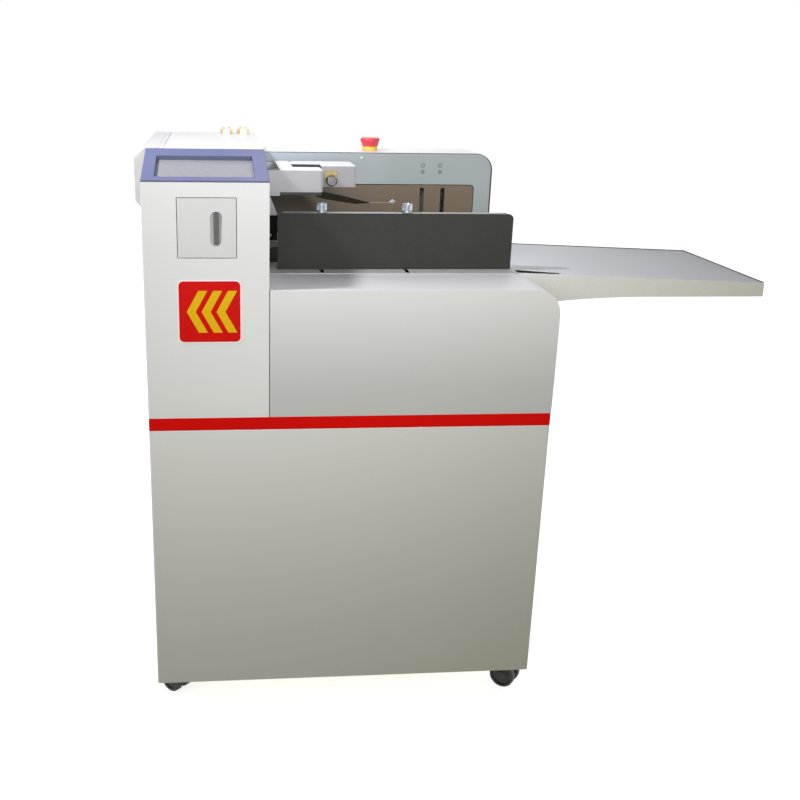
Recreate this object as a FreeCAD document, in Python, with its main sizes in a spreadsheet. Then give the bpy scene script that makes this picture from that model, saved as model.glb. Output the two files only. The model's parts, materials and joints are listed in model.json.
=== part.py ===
import FreeCAD, Part

import math
import os
import re

import Sketcher

# Paper creasing machine on casters, in millimetres, +Z up, -Y to the operator, +X to the feed tray.
# The case coordinates used below start at the left face, the front face and the floor; the shared
# frame has its origin in the middle of the whole machine's footprint, on the floor.

SIZES = {
    # case
    "case_width": 720,
    "case_depth": 640,
    "skin": 2,
    "fold_radius": 4,
    "caster_height": 58,
    "base_thick": 3,
    "upper_height": 249,
    "trim_height": 23,
    "trim_thick": 4,
    "deck_level": 815,
    "case_corner": 45,
    "strip_depth": 148,
    "deck_thick": 1.5,
    "deck_lap": 2,
    "deck_ledge": 20,
    "deck_margin": 38,
    "deck_flange": 25,
    "seam": 0.5,
    "casing_gap": 1.3,
    # deck slots and the vacuum drum under them
    "slot_offset": 106,
    "slot_pitch": 159,
    "slot_width": 8,
    "slot_gap": 2,
    "slot_length": 112,
    "drum_offset": 40,
    "drum_radius": 32,
    "drum_front": 262,
    "drum_length": 176,
    "drum_gap": 2,
    "drum_shell": 3,
    "box_height": 73,
    # tower with its console
    "tower_width": 210,
    "tower_rise": 218,
    "console_start": 1,
    "console_run": 182,
    "console_slope": 11.5,
    "bezel_thick": 8,
    "bezel_lip": 3,
    "bezel_round": 2,
    "screen_left": 21,
    "screen_low": 20,
    "screen_right": 23.5,
    "screen_height": 120,
    "screen_lap": 2.5,
    "screen_thick": 12,
    "throat_height": 88,
    "feed_width": 330,
    "exit_height": 34,
    # access door
    "door_left": 58,
    "door_rise": 55,
    "door_width": 97,
    "door_height": 98,
    "door_thick": 3,
    "door_gap": 1,
    "door_pin": 1,
    "door_pin_reach": 3,
    "pull_left": 54,
    "pull_low": 18,
    "pull_width": 20,
    "pull_height": 58,
    "pull_depth": 9,
    "pull_taper": 34,
    "pull_rim": 4,
    # delivery hood
    "hood_reach": 21.3,
    "hood_front": 185,
    "hood_rear": 12,
    "hood_chamfer": 18,
    "hood_height": 118,
    "hood_turn": 26,
    "hood_clear": 0.6,
    "hinge_line": 26.5,
    "barrel_radius": 4,
    "hinge_pin": 2,
    "hinge_gap": 1,
    "leaf_width": 18,
    # bridge over the feed table
    "bridge_front": 513,
    "bridge_step": 5,
    "bridge_rise": 188,
    "bridge_corner": 35,
    "pane_thick": 4,
    "window_start": 9,
    "window_margin": 39,
    "window_rise": 21,
    "window_height": 101,
    "window_round": 8,
    "window_thick": 3,
    "window_gap": 0.3,
    "vent_end": 67,
    "vent_pitch": 45,
    "vent_width": 9,
    "vent_rim": 6,
    "lever_height": 10,
    # emergency stop
    "stop_centre": 457.5,
    "stop_ring": 17,
    "stop_ring_height": 9.5,
    "stop_barrel": 10.8,
    "stop_depth": 30,
    "stop_stem": 5,
    "stop_head": 21,
    "stop_neck": 18.8,
    "stop_cone": 8,
    "stop_cap": 7,
    "stop_crown": 2,
    "stop_gap": 0.4,
    "stop_travel": 4,
    # feed head over the table
    "head_front": 230,
    "head_step": 321,
    "head_back": 430,
    "head_reach": 111,
    "head_ledge": 74,
    "head_rise": 137,
    "head_height": 39.5,
    "head_open": 32,
    "head_slot_inset": 51,
    "head_slot_width": 57,
    "head_slot_lead": 19,
    "head_slot_length": 62,
    "brass_gap": 13,
    "brass_width": 24,
    "brass_rise": 5,
    "brass_height": 26,
    "brass_thick": 1.5,
    "knob_offset": 12.5,
    "knob_rise": 13,
    "knob_radius": 10.5,
    "knob_length": 13,
    "knob_screw": 3,
    # sheet hold-down arm
    "arm_inset": 30,
    "arm_offset": 6,
    "arm_drop": 8,
    "arm_slope_run": 95,
    "arm_slope_fall": 24,
    "arm_tip_run": 56,
    "arm_tip_rise": 1,
    "arm_width": 12,
    "arm_thick": 1.2,
    "arm_barrel": 3.5,
    "arm_pin": 1.5,
    "arm_foot": 12,
    # throat guide
    "guide_front": 262,
    "guide_length": 150,
    "guide_height": 47,
    "guide_reach": 29.5,
    "guide_top": 10.5,
    # feed fence with its clamp posts
    "fence_setback": 35,
    "fence_start": 25,
    "fence_margin": 6.5,
    "fence_height": 105,
    "fence_gap": 0.3,
    "fence_flange": 20,
    "fence_corner": 10,
    "post_radius": 10,
    "post_height": 16.5,
    "post_rod": 3,
    "post_nut": 7,
    "post_nut_height": 5,
    # feed tray
    "tray_reach": 447,
    "tray_step": 0.2,
    "tray_fall": 18.3,
    "tray_rim": 26.5,
    "tray_dip": 12,
    "tray_curve_run": 205,
    "tray_curve_radius": 2100,
    "tray_corner": 3,
    "tray_fold": 2,
    "notch_length": 88,
    "notch_front": 10,
    "notch_width": 38,
    "notch_narrow": 18,
    # creasing unit
    "unit_front": 166,
    "unit_back": 523,
    "plate_thick": 4,
    "plate_inset": 12,
    "plate_drop": 33,
    "path_gap": 0.5,
    "nip_gap": 0.3,
    "roller_radius": 15,
    "journal": 6,
    "journal_reach": 6,
    "running_gap": 0.05,
    "roller_inset": 32,
    "die_width": 20,
    "die_depth": 27,
    "groove_width": 2,
    "groove_depth": 2,
    "blade_thick": 1,
    "blade_lift": 3.2,
    "blade_height": 25,
    "blade_show": 9,
    "beam_width": 18,
    "beam_reach": 6,
    "shaft_rise": 104,
    "shaft_radius": 7,
    "cam_radius": 18,
    "cam_throw": 4,
    "cam_width": 14,
    "cam_inset": 30,
    "cam_gap": 0.3,
    "wheel_radius": 24,
    "wheel_width": 18,
    "wheel_front": 108,
    # drive
    "motor_rise": 51,
    "motor_radius": 42,
    "motor_length": 118,
    "pulley_radius": 18,
    "pulley_width": 10,
    "belt_thick": 2,
    "belt_gap": 0.3,
    # cabinet contents
    "blower_front": 262,
    "blower_radius": 88,
    "blower_width": 92,
    "blower_lift": 104,
    "blower_foot": 52,
    "blower_outlet": 108,
    "duct_size": 52,
    "supply_left": 60,
    "supply_gap": 26,
    "supply_width": 240,
    "supply_back": 80,
    "supply_height": 140,
    # back panel
    "louvre_left": 420,
    "louvre_low": 150,
    "louvre_width": 180,
    "louvre_height": 6,
    "louvre_pitch": 16,
    "inlet_left": 90,
    "inlet_low": 120,
    "inlet_width": 50,
    "inlet_height": 62,
    "inlet_depth": 28,
    "inlet_socket": 27,
    "inlet_socket_depth": 16,
    "rocker_height": 18,
    "rocker_width": 26,
    "rocker_gap": 0.6,
    "rocker_pin": 1.5,
    "rocker_reach": 5,
    "rocker_tilt": 16,
    # brass fittings on the tower
    "fitting_pitch": 35.5,
    "fitting_right": 26,
    "fitting_back": 40,
    "fitting_radius": 13.5,
    "fitting_height": 10,
    "fitting_neck": 9,
    "fitting_rise": 5,
    # fasteners
    "screw_head": 3.6,
    "screw_height": 1.4,
    "panel_screw": 431.7,
    "panel_screw_drop": 10.5,
    # casters
    "caster_inset": 48,
    "caster_front": 62,
    "caster_trail": 22,
    "caster_wheel": 25,
    "caster_tread": 14,
    "caster_web": 10,
    "caster_side_gap": 0.4,
    "caster_plate": 42,
    "caster_plate_thick": 2.5,
    "caster_hub": 10,
    "caster_pin": 4,
    "caster_axle": 3,
    "caster_hub_gap": 0.3,
}

# yaw of each caster at rest, in degrees: where its wheels trail, seen from above
CASTER_YAW = {
    "front_left": 135,
    "front_right": -38,
    "rear_left": 50,
    "rear_right": 200,
}
CASTER_SIDE = {
    "front_left": ("caster_inset", "caster_front"),
    "front_right": ("case_width - caster_inset", "caster_front"),
    "rear_left": ("caster_inset", "case_depth - caster_front"),
    "rear_right": ("case_width - caster_inset", "case_depth - caster_front"),
}

LOUVRES = 9

# levels and lines that several pieces share
TRIM_LEVEL = "(deck_level - upper_height)"
SLOT_FIRST = "(tower_width + slot_offset)"
SLOT_SECOND = f"({SLOT_FIRST} + slot_pitch)"
SLOT_FRONT = "(strip_depth + slot_gap)"
DRUM_LINE = "(tower_width + drum_offset)"
TOWER_LEVEL = "(deck_level + tower_rise)"
SCREEN_WIDTH = "(tower_width - screen_left - screen_right)"
DOOR_LOW = "(deck_level + door_rise)"
HOOD_BASE = f"({TOWER_LEVEL} - hood_height)"
BRIDGE_LEVEL = "(deck_level + bridge_rise)"
WINDOW_LEFT = "(tower_width + window_start)"
WINDOW_LOW = "(deck_level + window_rise)"
WINDOW_TOP = f"({WINDOW_LOW} + window_height)"
VENT_LOW = f"({WINDOW_LOW} + vent_rim)"
VENT_TOP = f"({WINDOW_TOP} - vent_rim)"
HEAD_SHORT = "(tower_width + head_reach)"
HEAD_LONG = f"({HEAD_SHORT} + head_ledge)"
HEAD_LOW = "(deck_level + head_rise)"
HEAD_SLOT_LEFT = f"({HEAD_SHORT} - head_slot_inset)"
HEAD_SLOT_RIGHT = f"({HEAD_SLOT_LEFT} + head_slot_width)"
HEAD_SLOT_FRONT = "(head_step - head_slot_lead)"
HEAD_SLOT_BACK = f"({HEAD_SLOT_FRONT} + head_slot_length)"
BRASS_LEFT = f"({HEAD_SHORT} + brass_gap)"
BRASS_LOW = f"({HEAD_LOW} + brass_rise)"
KNOB_LINE = f"({BRASS_LEFT} + knob_offset)"
KNOB_LEVEL = f"({HEAD_LOW} + knob_rise)"
ARM_BACK = "(head_back - arm_inset)"
ARM_PIVOT = f"({HEAD_SHORT} + arm_offset)"
ARM_PIVOT_LEVEL = f"({HEAD_LOW} - arm_drop)"
ARM_BEND = f"({ARM_PIVOT} + arm_slope_run)"
ARM_BEND_LEVEL = f"({ARM_PIVOT_LEVEL} - arm_slope_fall)"
ARM_END = f"({ARM_BEND} + arm_tip_run)"
ARM_END_LEVEL = f"({ARM_BEND_LEVEL} + arm_tip_rise)"
GUIDE_LOW = f"({HEAD_LOW} - guide_height)"
FENCE_FRONT = "(strip_depth + fence_setback)"
FENCE_LEFT = "(tower_width + fence_start)"
FENCE_TOP = "(deck_level + fence_height)"
TRAY_START_LEVEL = "(deck_level - tray_step)"
TRAY_END_LEVEL = f"({TRAY_START_LEVEL} - tray_fall)"
TRAY_BASE = f"({TRAY_END_LEVEL} - tray_rim)"
TRAY_ROOT = f"({TRAY_BASE} - tray_dip)"
PLATE_TOP = f"({TOWER_LEVEL} - plate_drop)"
INFEED_LINE = "(tower_width - roller_inset)"
OUTFEED_LINE = "roller_inset"
CREASE_LINE = "(tower_width / 2)"
SHAFT_LEVEL = "(deck_level + shaft_rise)"
FITTING_SECOND = "(tower_width - fitting_right)"
FITTING_FIRST = f"({FITTING_SECOND} - fitting_pitch)"
DECK_END = "(case_width - deck_margin)"
BRIDGE_END = "(case_width - bridge_step)"
WINDOW_RIGHT = f"({BRIDGE_END} - window_margin)"
VENT_SECOND = f"({WINDOW_RIGHT} - vent_end)"
VENT_FIRST = f"({VENT_SECOND} - vent_pitch)"
FENCE_RIGHT = f"({DECK_END} - fence_margin)"
FITTING_LINE = "(case_depth - fitting_back)"
MIDDLE_X = "(case_width + tray_reach - hood_reach) / 2"
MIDDLE_Y = "case_depth / 2"
TRIM_TOP = f"({TRIM_LEVEL} + trim_height)"
BED_TOP = f"({TRIM_LEVEL} + base_thick)"
MOTOR_LEVEL = f"({BED_TOP} + motor_rise)"
DECK_TOP = "(deck_level + deck_thick)"
PATH = "(deck_level + deck_thick + path_gap)"
NIP_LOW = f"({PATH} - roller_radius - nip_gap / 2)"
NIP_HIGH = f"({PATH} + roller_radius + nip_gap / 2)"
CONSOLE_FRONT = f"({TOWER_LEVEL} - console_run * tan(console_slope))"
CONSOLE_BACK = "(console_start + console_run)"
BEZEL_DROP = "(bezel_thick / cos(console_slope))"
LIP_DROP = "(bezel_lip / cos(console_slope))"
HINGE_LEVEL = f"({TOWER_LEVEL} - barrel_radius)"
BEAM_TOP = f"({SHAFT_LEVEL} - cam_radius + cam_throw - cam_gap)"
TRAY_END = "(case_width + tray_reach)"
TRAY_FRONT = "(strip_depth + seam)"
STOP_LINE = "((bridge_front + case_depth) / 2)"
STOP_RIM = f"({BRIDGE_LEVEL} + stop_ring_height + seam)"
STOP_STEM_TOP = f"({STOP_RIM} + stop_cone + stop_cap)"
UNIT_INNER_FRONT = "(unit_front + plate_thick)"

doc = FreeCAD.newDocument("creasing_machine")
sheet = doc.addObject("Spreadsheet::Sheet", "Dims")
for row, (alias, value) in enumerate(SIZES.items(), start=1):
    sheet.set(f"A{row}", str(value))
    sheet.setAlias(f"A{row}", alias)
workings = doc.addObject("Spreadsheet::Sheet", "Workings")
doc.recompute()

nodes = []


# ---- helpers -------------------------------------------------------------------------------------


def bound(text):
    """The expression with each size name pointing at its cell."""
    return re.sub(
        r"[a-z_]+",
        lambda word: f"Dims.{word[0]}" if word[0] in SIZES else word[0],
        str(text),
    )


def bind(thing, **properties):
    for name, text in properties.items():
        thing.setExpression(name.replace("__", "."), bound(text))


def number(text):
    """The present value of an expression, for the shapes that need one before they are bound."""
    workings.set("A1", f"={bound(text)}")
    workings.recompute()
    return float(workings.get("A1"))


def place_at(thing, x, y, z):
    bind(thing, Placement__Base__x=x, Placement__Base__y=y, Placement__Base__z=z)


def case_at(thing, x, y, z):
    """Places a piece given from the case's left, front and floor in the shared frame."""
    place_at(thing, f"{x} - {MIDDLE_X}", f"{y} - {MIDDLE_Y}", z)


def box(label, low, high, local=False):
    """A block between two corners, given from the case's left, front and floor."""
    piece = doc.addObject("Part::Box", label)
    bind(
        piece,
        Length=f"({high[0]}) - ({low[0]})",
        Width=f"({high[1]}) - ({low[1]})",
        Height=f"({high[2]}) - ({low[2]})",
    )
    (place_at if local else case_at)(piece, *low)
    return piece


TURNS = {
    "X": FreeCAD.Rotation(FreeCAD.Vector(0, 1, 0), 90),
    "Y": FreeCAD.Rotation(FreeCAD.Vector(1, 0, 0), -90),
    "Z": FreeCAD.Rotation(),
}


def rod(label, axis, start, radius, length, local=False):
    """A cylinder from start along +X, +Y or +Z."""
    piece = doc.addObject("Part::Cylinder", label)
    piece.Placement = FreeCAD.Placement(FreeCAD.Vector(), TURNS[axis])
    bind(piece, Radius=radius, Height=length)
    (place_at if local else case_at)(piece, *start)
    return piece


def cone(label, start, low_radius, high_radius, height):
    piece = doc.addObject("Part::Cone", label)
    bind(piece, Radius1=low_radius, Radius2=high_radius, Height=height)
    case_at(piece, *start)
    return piece


def fuse(label, *pieces):
    joined = doc.addObject("Part::MultiFuse", label)
    joined.Shapes = list(pieces)
    joined.Refine = True
    return joined


def cut(label, base, *tools):
    tool = tools[0] if len(tools) == 1 else fuse(f"{label}_tools", *tools)
    piece = doc.addObject("Part::Cut", label)
    piece.Base = base
    piece.Tool = tool
    piece.Refine = True
    return piece


def group(label, *pieces):
    """Separate solids that share one node."""
    piece = doc.addObject("Part::Compound", label)
    piece.Links = list(pieces)
    return piece


def rounded(label, base, radius, chosen):
    """Fillets the edges of a piece for which chosen(edge) holds."""
    doc.recompute()
    piece = doc.addObject("Part::Fillet", label)
    piece.Base = base
    size = number(radius)
    piece.Edges = [(i, size, size) for i, edge in enumerate(base.Shape.Edges, start=1) if chosen(edge)]
    return piece


def along(axis):
    """Tests whether an edge is a straight one parallel to X, Y or Z."""
    wanted = {"X": (1, 0, 0), "Y": (0, 1, 0), "Z": (0, 0, 1)}[axis]

    def test(edge):
        if edge.Curve.TypeId != "Part::GeomLine":
            return False
        step = edge.Curve.Direction
        return abs(abs(step.dot(FreeCAD.Vector(*wanted))) - 1) < 1e-6

    return test


def edge_near(edge, **wanted):
    """Tests whether an edge's middle has the given case coordinates."""
    middle = edge.CenterOfMass
    got = {
        "x": middle.x + number(MIDDLE_X),
        "y": middle.y + number(MIDDLE_Y),
        "z": middle.z,
    }
    return all(abs(got[name] - number(text)) < 1e-3 for name, text in wanted.items())


def named_plane(body, role):
    return next(feature for feature in body.Origin.OriginFeatures if feature.Role == role)


def prism(label, plane, outline, start, end, corners=None, local=False):
    """A padded sketch. Its outline lists (across, up) or (across, up, radius of the arc to the next
    point); XZ outlines run in case X and Z from y=start to y=end, XY ones in X and Y between two
    levels, and YZ ones in Y and Z between two places along X. corners maps points to fillet radii."""
    body = doc.addObject("PartDesign::Body", label)
    sketch = body.newObject("Sketcher::SketchObject", f"{label}_outline")
    sketch.AttachmentSupport = [(named_plane(body, f"{plane}_Plane"), "")]
    sketch.MapMode = "FlatFace"
    points = [FreeCAD.Vector(number(p[0]), number(p[1]), 0) for p in outline]
    count = len(points)
    for i, point in enumerate(points):
        following = points[(i + 1) % count]
        if len(outline[i]) == 3:
            sketch.addGeometry(shallow_arc(point, following, number(outline[i][2])))
        else:
            sketch.addGeometry(Part.LineSegment(point, following))
    starts = [arc_end(outline, i, 1) for i in range(count)]
    ends = [arc_end(outline, i, 2) for i in range(count)]
    for i in range(count):
        sketch.addConstraint(
            Sketcher.Constraint("Coincident", i, ends[i], (i + 1) % count, starts[(i + 1) % count]),
        )
    for i, point in enumerate(outline):
        for direction, text, value in (
            ("DistanceX", point[0], points[i].x),
            ("DistanceY", point[1], points[i].y),
        ):
            index = sketch.addConstraint(Sketcher.Constraint(direction, -1, 1, i, starts[i], value))
            sketch.setExpression(f"Constraints[{index}]", bound(text))
        if len(point) == 3:
            index = sketch.addConstraint(Sketcher.Constraint("Radius", i, abs(number(point[2]))))
            sketch.setExpression(f"Constraints[{index}]", bound(f"abs({point[2]})"))
    pad = body.newObject("PartDesign::Pad", f"{label}_pad")
    pad.Profile = sketch
    pad.Reversed = plane == "XZ"
    bind(pad, Length=f"({end}) - ({start})")
    origin = {"XZ": ("0", start, "0"), "XY": ("0", "0", start), "YZ": (start, "0", "0")}[plane]
    (place_at if local else case_at)(body, *origin)
    doc.recompute()
    for index, radius in (corners or {}).items():
        round_corner(body, plane, points[index], radius, f"{label}_corner_{index}")
    return body


def shallow_arc(first, last, radius):
    """The short arc between two points; it bulges left of the way when radius is positive."""
    chord = last - first
    middle = (first + last) * 0.5
    left = FreeCAD.Vector(-chord.y, chord.x, 0).normalize()
    sagitta = abs(radius) - math.sqrt(radius**2 - chord.Length**2 / 4)
    return Part.Arc(first, middle + left * math.copysign(sagitta, radius), last)


def arc_end(outline, index, which):
    """The sketch's point number of a segment's start or end; arcs run anticlockwise."""
    if len(outline[index]) == 3 and number(outline[index][2]) > 0:
        return 3 - which
    return which


def round_corner(body, plane, point, radius, label):
    """Fillets the padded edge above one outline point."""
    tip = body.Tip
    across = {
        "XZ": (point.x, None, point.y),
        "XY": (point.x, point.y, None),
        "YZ": (None, point.x, point.y),
    }[plane]
    names = []
    for i, edge in enumerate(tip.Shape.Edges, start=1):
        ends = [edge.Vertexes[0].Point, edge.Vertexes[-1].Point]
        places = [(end[k], wanted) for end in ends for k, wanted in enumerate(across) if wanted is not None]
        if all(abs(got - wanted) < 1e-4 for got, wanted in places):
            names.append(f"Edge{i}")
    fillet = body.newObject("PartDesign::Fillet", label)
    fillet.Base = (tip, names)
    bind(fillet, Radius=radius)
    body.Tip = fillet
    doc.recompute()


def node(name, piece):
    piece.Label = name
    nodes.append(piece)
    return piece


# ---- cabinet -------------------------------------------------------------------------------------


def base_plate():
    return box(
        "base_plate",
        ("skin", "skin", "caster_height"),
        ("case_width - skin", "case_depth - skin", "caster_height + base_thick"),
    )


def u_shell(label, wall, low, high, radius):
    """A front with two sides, open at the back, with folded front corners."""
    outer = box(f"{label}_outer", ("0", "0", low), ("case_width", "case_depth - skin", high))
    folded = rounded(
        f"{label}_folded",
        outer,
        radius,
        lambda edge: along("Z")(edge) and edge_near(edge, y="0"),
    )
    inner = box(
        f"{label}_inner",
        (wall, wall, f"{low} - 1"),
        (f"case_width - {wall}", "case_depth", f"{high} + 1"),
    )
    return cut(label, folded, inner)


def bed_plate():
    plate = box(
        "bed_sheet",
        ("trim_thick", "trim_thick", TRIM_LEVEL),
        ("case_width - trim_thick", "case_depth - skin", BED_TOP),
    )
    hole = duct("bed_duct_hole", "-seam", f"{TRIM_LEVEL} - 1", f"{BED_TOP} + 1")
    return cut("bed_plate", plate, hole)


def back_panel():
    panel = box(
        "back_panel_sheet",
        ("0", "case_depth - skin", "caster_height"),
        ("case_width", "case_depth", "deck_level"),
    )
    louvres = []
    for i in range(LOUVRES):
        low = f"louvre_low + {i} * louvre_pitch"
        louvres.append(
            box(
                f"louvre_{i}",
                ("louvre_left", "case_depth - 2 * skin", low),
                ("louvre_left + louvre_width", "case_depth + skin", f"{low} + louvre_height"),
            )
        )
    inlet = box(
        "inlet_cutout",
        ("inlet_left", "case_depth - 2 * skin", "inlet_low"),
        ("inlet_left + inlet_width", "case_depth + skin", "inlet_low + inlet_height"),
    )
    return cut("back_panel", panel, *louvres, inlet)


def mains_inlet():
    """Socket below, switch well above, in one moulded housing."""
    body = box(
        "inlet_body",
        ("inlet_left", "case_depth - inlet_depth", "inlet_low"),
        ("inlet_left + inlet_width", "case_depth", "inlet_low + inlet_height"),
    )
    middle = "inlet_left + inlet_width / 2"
    socket = box(
        "inlet_socket_hole",
        (f"{middle} - inlet_socket / 2", "case_depth - inlet_socket_depth", "inlet_low + skin"),
        (f"{middle} + inlet_socket / 2", "case_depth + skin", "inlet_low + skin + inlet_socket_depth"),
    )
    well = box(
        "inlet_switch_well",
        (
            f"{middle} - rocker_width / 2 - rocker_gap",
            "case_depth - inlet_socket_depth",
            "inlet_low + inlet_height / 2",
        ),
        (
            f"{middle} + rocker_width / 2 + rocker_gap",
            "case_depth + skin",
            "inlet_low + inlet_height / 2 + rocker_height + 2 * rocker_gap + skin",
        ),
    )
    hole = rod(
        "inlet_rocker_bore",
        "X",
        (
            f"{middle} - rocker_width / 2 - 2 * skin",
            "case_depth - inlet_socket_depth / 2",
            rocker_level(),
        ),
        "rocker_pin + running_gap",
        "rocker_width + 4 * skin",
    )
    return cut("mains_inlet", body, socket, well, hole)


def rocker_level():
    return "(inlet_low + inlet_height / 2 + rocker_gap + (rocker_height + skin) / 2)"


def power_rocker():
    """A rocker on a cross pin: its lower half lies flush and its upper half stands out."""
    middle = "(inlet_left + inlet_width / 2)"
    pivot_y = "(case_depth - inlet_socket_depth / 2)"
    half = "(rocker_height / 2 - skin)"
    low = f"{rocker_level()} - {half}"
    high = f"{rocker_level()} + {half}"
    pad = prism(
        "rocker_pad",
        "YZ",
        [
            (f"{pivot_y} - skin / 2", low),
            (f"{pivot_y} + rocker_reach", low),
            (f"{pivot_y} + rocker_reach", rocker_level()),
            (f"{pivot_y} + rocker_reach + {half} * tan(rocker_tilt)", high),
            (f"{pivot_y} - skin / 2", high),
        ],
        f"{middle} - rocker_width / 2",
        f"{middle} + rocker_width / 2",
    )
    pin = rod(
        "rocker_cross_pin",
        "X",
        (f"{middle} - rocker_width / 2 - skin - rocker_gap", pivot_y, rocker_level()),
        "rocker_pin",
        "rocker_width + 2 * skin + 2 * rocker_gap",
    )
    return fuse("power_rocker", pad, pin)


# ---- upper casing, deck and tray -------------------------------------------------------------------


def upper_casing():
    """Front wall, rounded right shoulder and top strip in one folded shell, with a low right wall."""
    left = "(tower_width + casing_gap)"
    outer = prism(
        "casing_outer",
        "XZ",
        [
            (left, TRIM_TOP),
            ("case_width", TRIM_TOP),
            ("case_width", "deck_level"),
            (left, "deck_level"),
        ],
        "0",
        "strip_depth",
        corners={2: "case_corner"},
    )
    inner = prism(
        "casing_inner",
        "XZ",
        [
            (f"{left} - 1", f"{TRIM_TOP} - 1"),
            ("case_width - skin", f"{TRIM_TOP} - 1"),
            ("case_width - skin", "deck_level - skin"),
            (f"{left} - 1", "deck_level - skin"),
        ],
        "skin",
        "strip_depth + 1",
        corners={2: "case_corner - skin"},
    )
    low_side = box(
        "casing_low_side",
        ("case_width - skin", "strip_depth", TRIM_TOP),
        ("case_width", "case_depth - skin", TRAY_ROOT),
    )
    back_side = box(
        "casing_back_side",
        ("case_width - skin", "bridge_front + seam", TRIM_TOP),
        ("case_width", "case_depth - skin", "deck_level"),
    )
    shelf = box(
        "casing_shelf",
        (left, "bridge_front + seam", "deck_level - skin"),
        ("case_width", "case_depth - skin", "deck_level"),
    )
    ledge = box(
        "casing_ledge",
        (left, "bridge_front - deck_ledge", "deck_level - skin"),
        (f"{DECK_END} - deck_thick - seam", "bridge_front + skin", "deck_level"),
    )
    return fuse("upper_casing", cut("casing_shell", outer, inner), low_side, back_side, shelf, ledge)


def deck_plate():
    """Feed table: a sheet on the casing's strip with a turned-down right edge."""
    sheet_metal = box(
        "deck_sheet",
        ("tower_width", "strip_depth - deck_lap", "deck_level"),
        (DECK_END, "bridge_front", DECK_TOP),
    )
    flange = box(
        "deck_side_flange",
        (f"{DECK_END} - deck_thick", "strip_depth", "deck_level - deck_flange"),
        (DECK_END, "bridge_front", "deck_level"),
    )
    tools = []
    for name, line in (("first", SLOT_FIRST), ("second", SLOT_SECOND)):
        tools.append(
            box(
                f"deck_slot_{name}",
                (f"{line} - slot_width / 2", f"{SLOT_FRONT} + slot_width / 2", "deck_level - 1"),
                (
                    f"{line} + slot_width / 2",
                    f"{SLOT_FRONT} + slot_length - slot_width / 2",
                    f"{DECK_TOP} + 1",
                ),
            )
        )
        for end, y in (
            ("front", f"{SLOT_FRONT} + slot_width / 2"),
            ("back", f"{SLOT_FRONT} + slot_length - slot_width / 2"),
        ):
            tools.append(
                rod(
                    f"deck_slot_{name}_{end}",
                    "Z",
                    (line, y, "deck_level - 1"),
                    "slot_width / 2",
                    "deck_thick + 2",
                )
            )
    tools.append(
        box(
            "deck_drum_window",
            (f"{DRUM_LINE} - drum_radius - drum_gap", "drum_front - drum_gap", "deck_level - 1"),
            (
                f"{DRUM_LINE} + drum_radius + drum_gap",
                "drum_front + drum_length + drum_gap",
                f"{DECK_TOP} + 1",
            ),
        )
    )
    return cut("deck_plate", fuse("deck_folded", sheet_metal, flange), *tools)


def tray_profile(label, inset, drop, front, back, corner):
    """The tray's side view, smaller by inset at both ends and on top, and lower by drop below."""
    return prism(
        label,
        "XZ",
        [
            (f"{DECK_END} + seam + {inset}", f"{TRAY_START_LEVEL} - {inset}"),
            (f"{DECK_END} + seam + {inset}", f"{TRAY_ROOT} - {drop}"),
            ("case_width", f"{TRAY_ROOT} - {drop}", "tray_curve_radius"),
            ("case_width + tray_curve_run", f"{TRAY_BASE} - {drop}"),
            (f"{TRAY_END} - {inset}", f"{TRAY_BASE} - {drop}"),
            (f"{TRAY_END} - {inset}", f"{TRAY_END_LEVEL} - {inset}"),
        ],
        front,
        back,
        corners={5: corner},
    )


def feed_tray():
    """Extension table that drops gently away from the deck, folded down on all outer edges."""
    outer = tray_profile("tray_outer", "0", "0", TRAY_FRONT, "bridge_front", "tray_corner")
    inner = tray_profile(
        "tray_inner",
        "skin",
        "tray_fold",
        f"{TRAY_FRONT} + skin",
        "bridge_front - skin",
        "tray_corner - skin / 2",
    )
    notch = prism(
        "tray_notch",
        "XY",
        [
            (DECK_END, f"{TRAY_FRONT} + notch_front"),
            (f"{DECK_END} + notch_length", f"{TRAY_FRONT} + notch_front + skin"),
            (f"{DECK_END} + notch_length", f"{TRAY_FRONT} + notch_front + skin + notch_narrow"),
            (DECK_END, f"{TRAY_FRONT} + notch_front + notch_width"),
        ],
        f"{TRAY_START_LEVEL} - 4 * skin",
        "deck_level + skin",
    )
    return cut("feed_tray", outer, inner, notch)


# ---- tower -----------------------------------------------------------------------------------------


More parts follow.
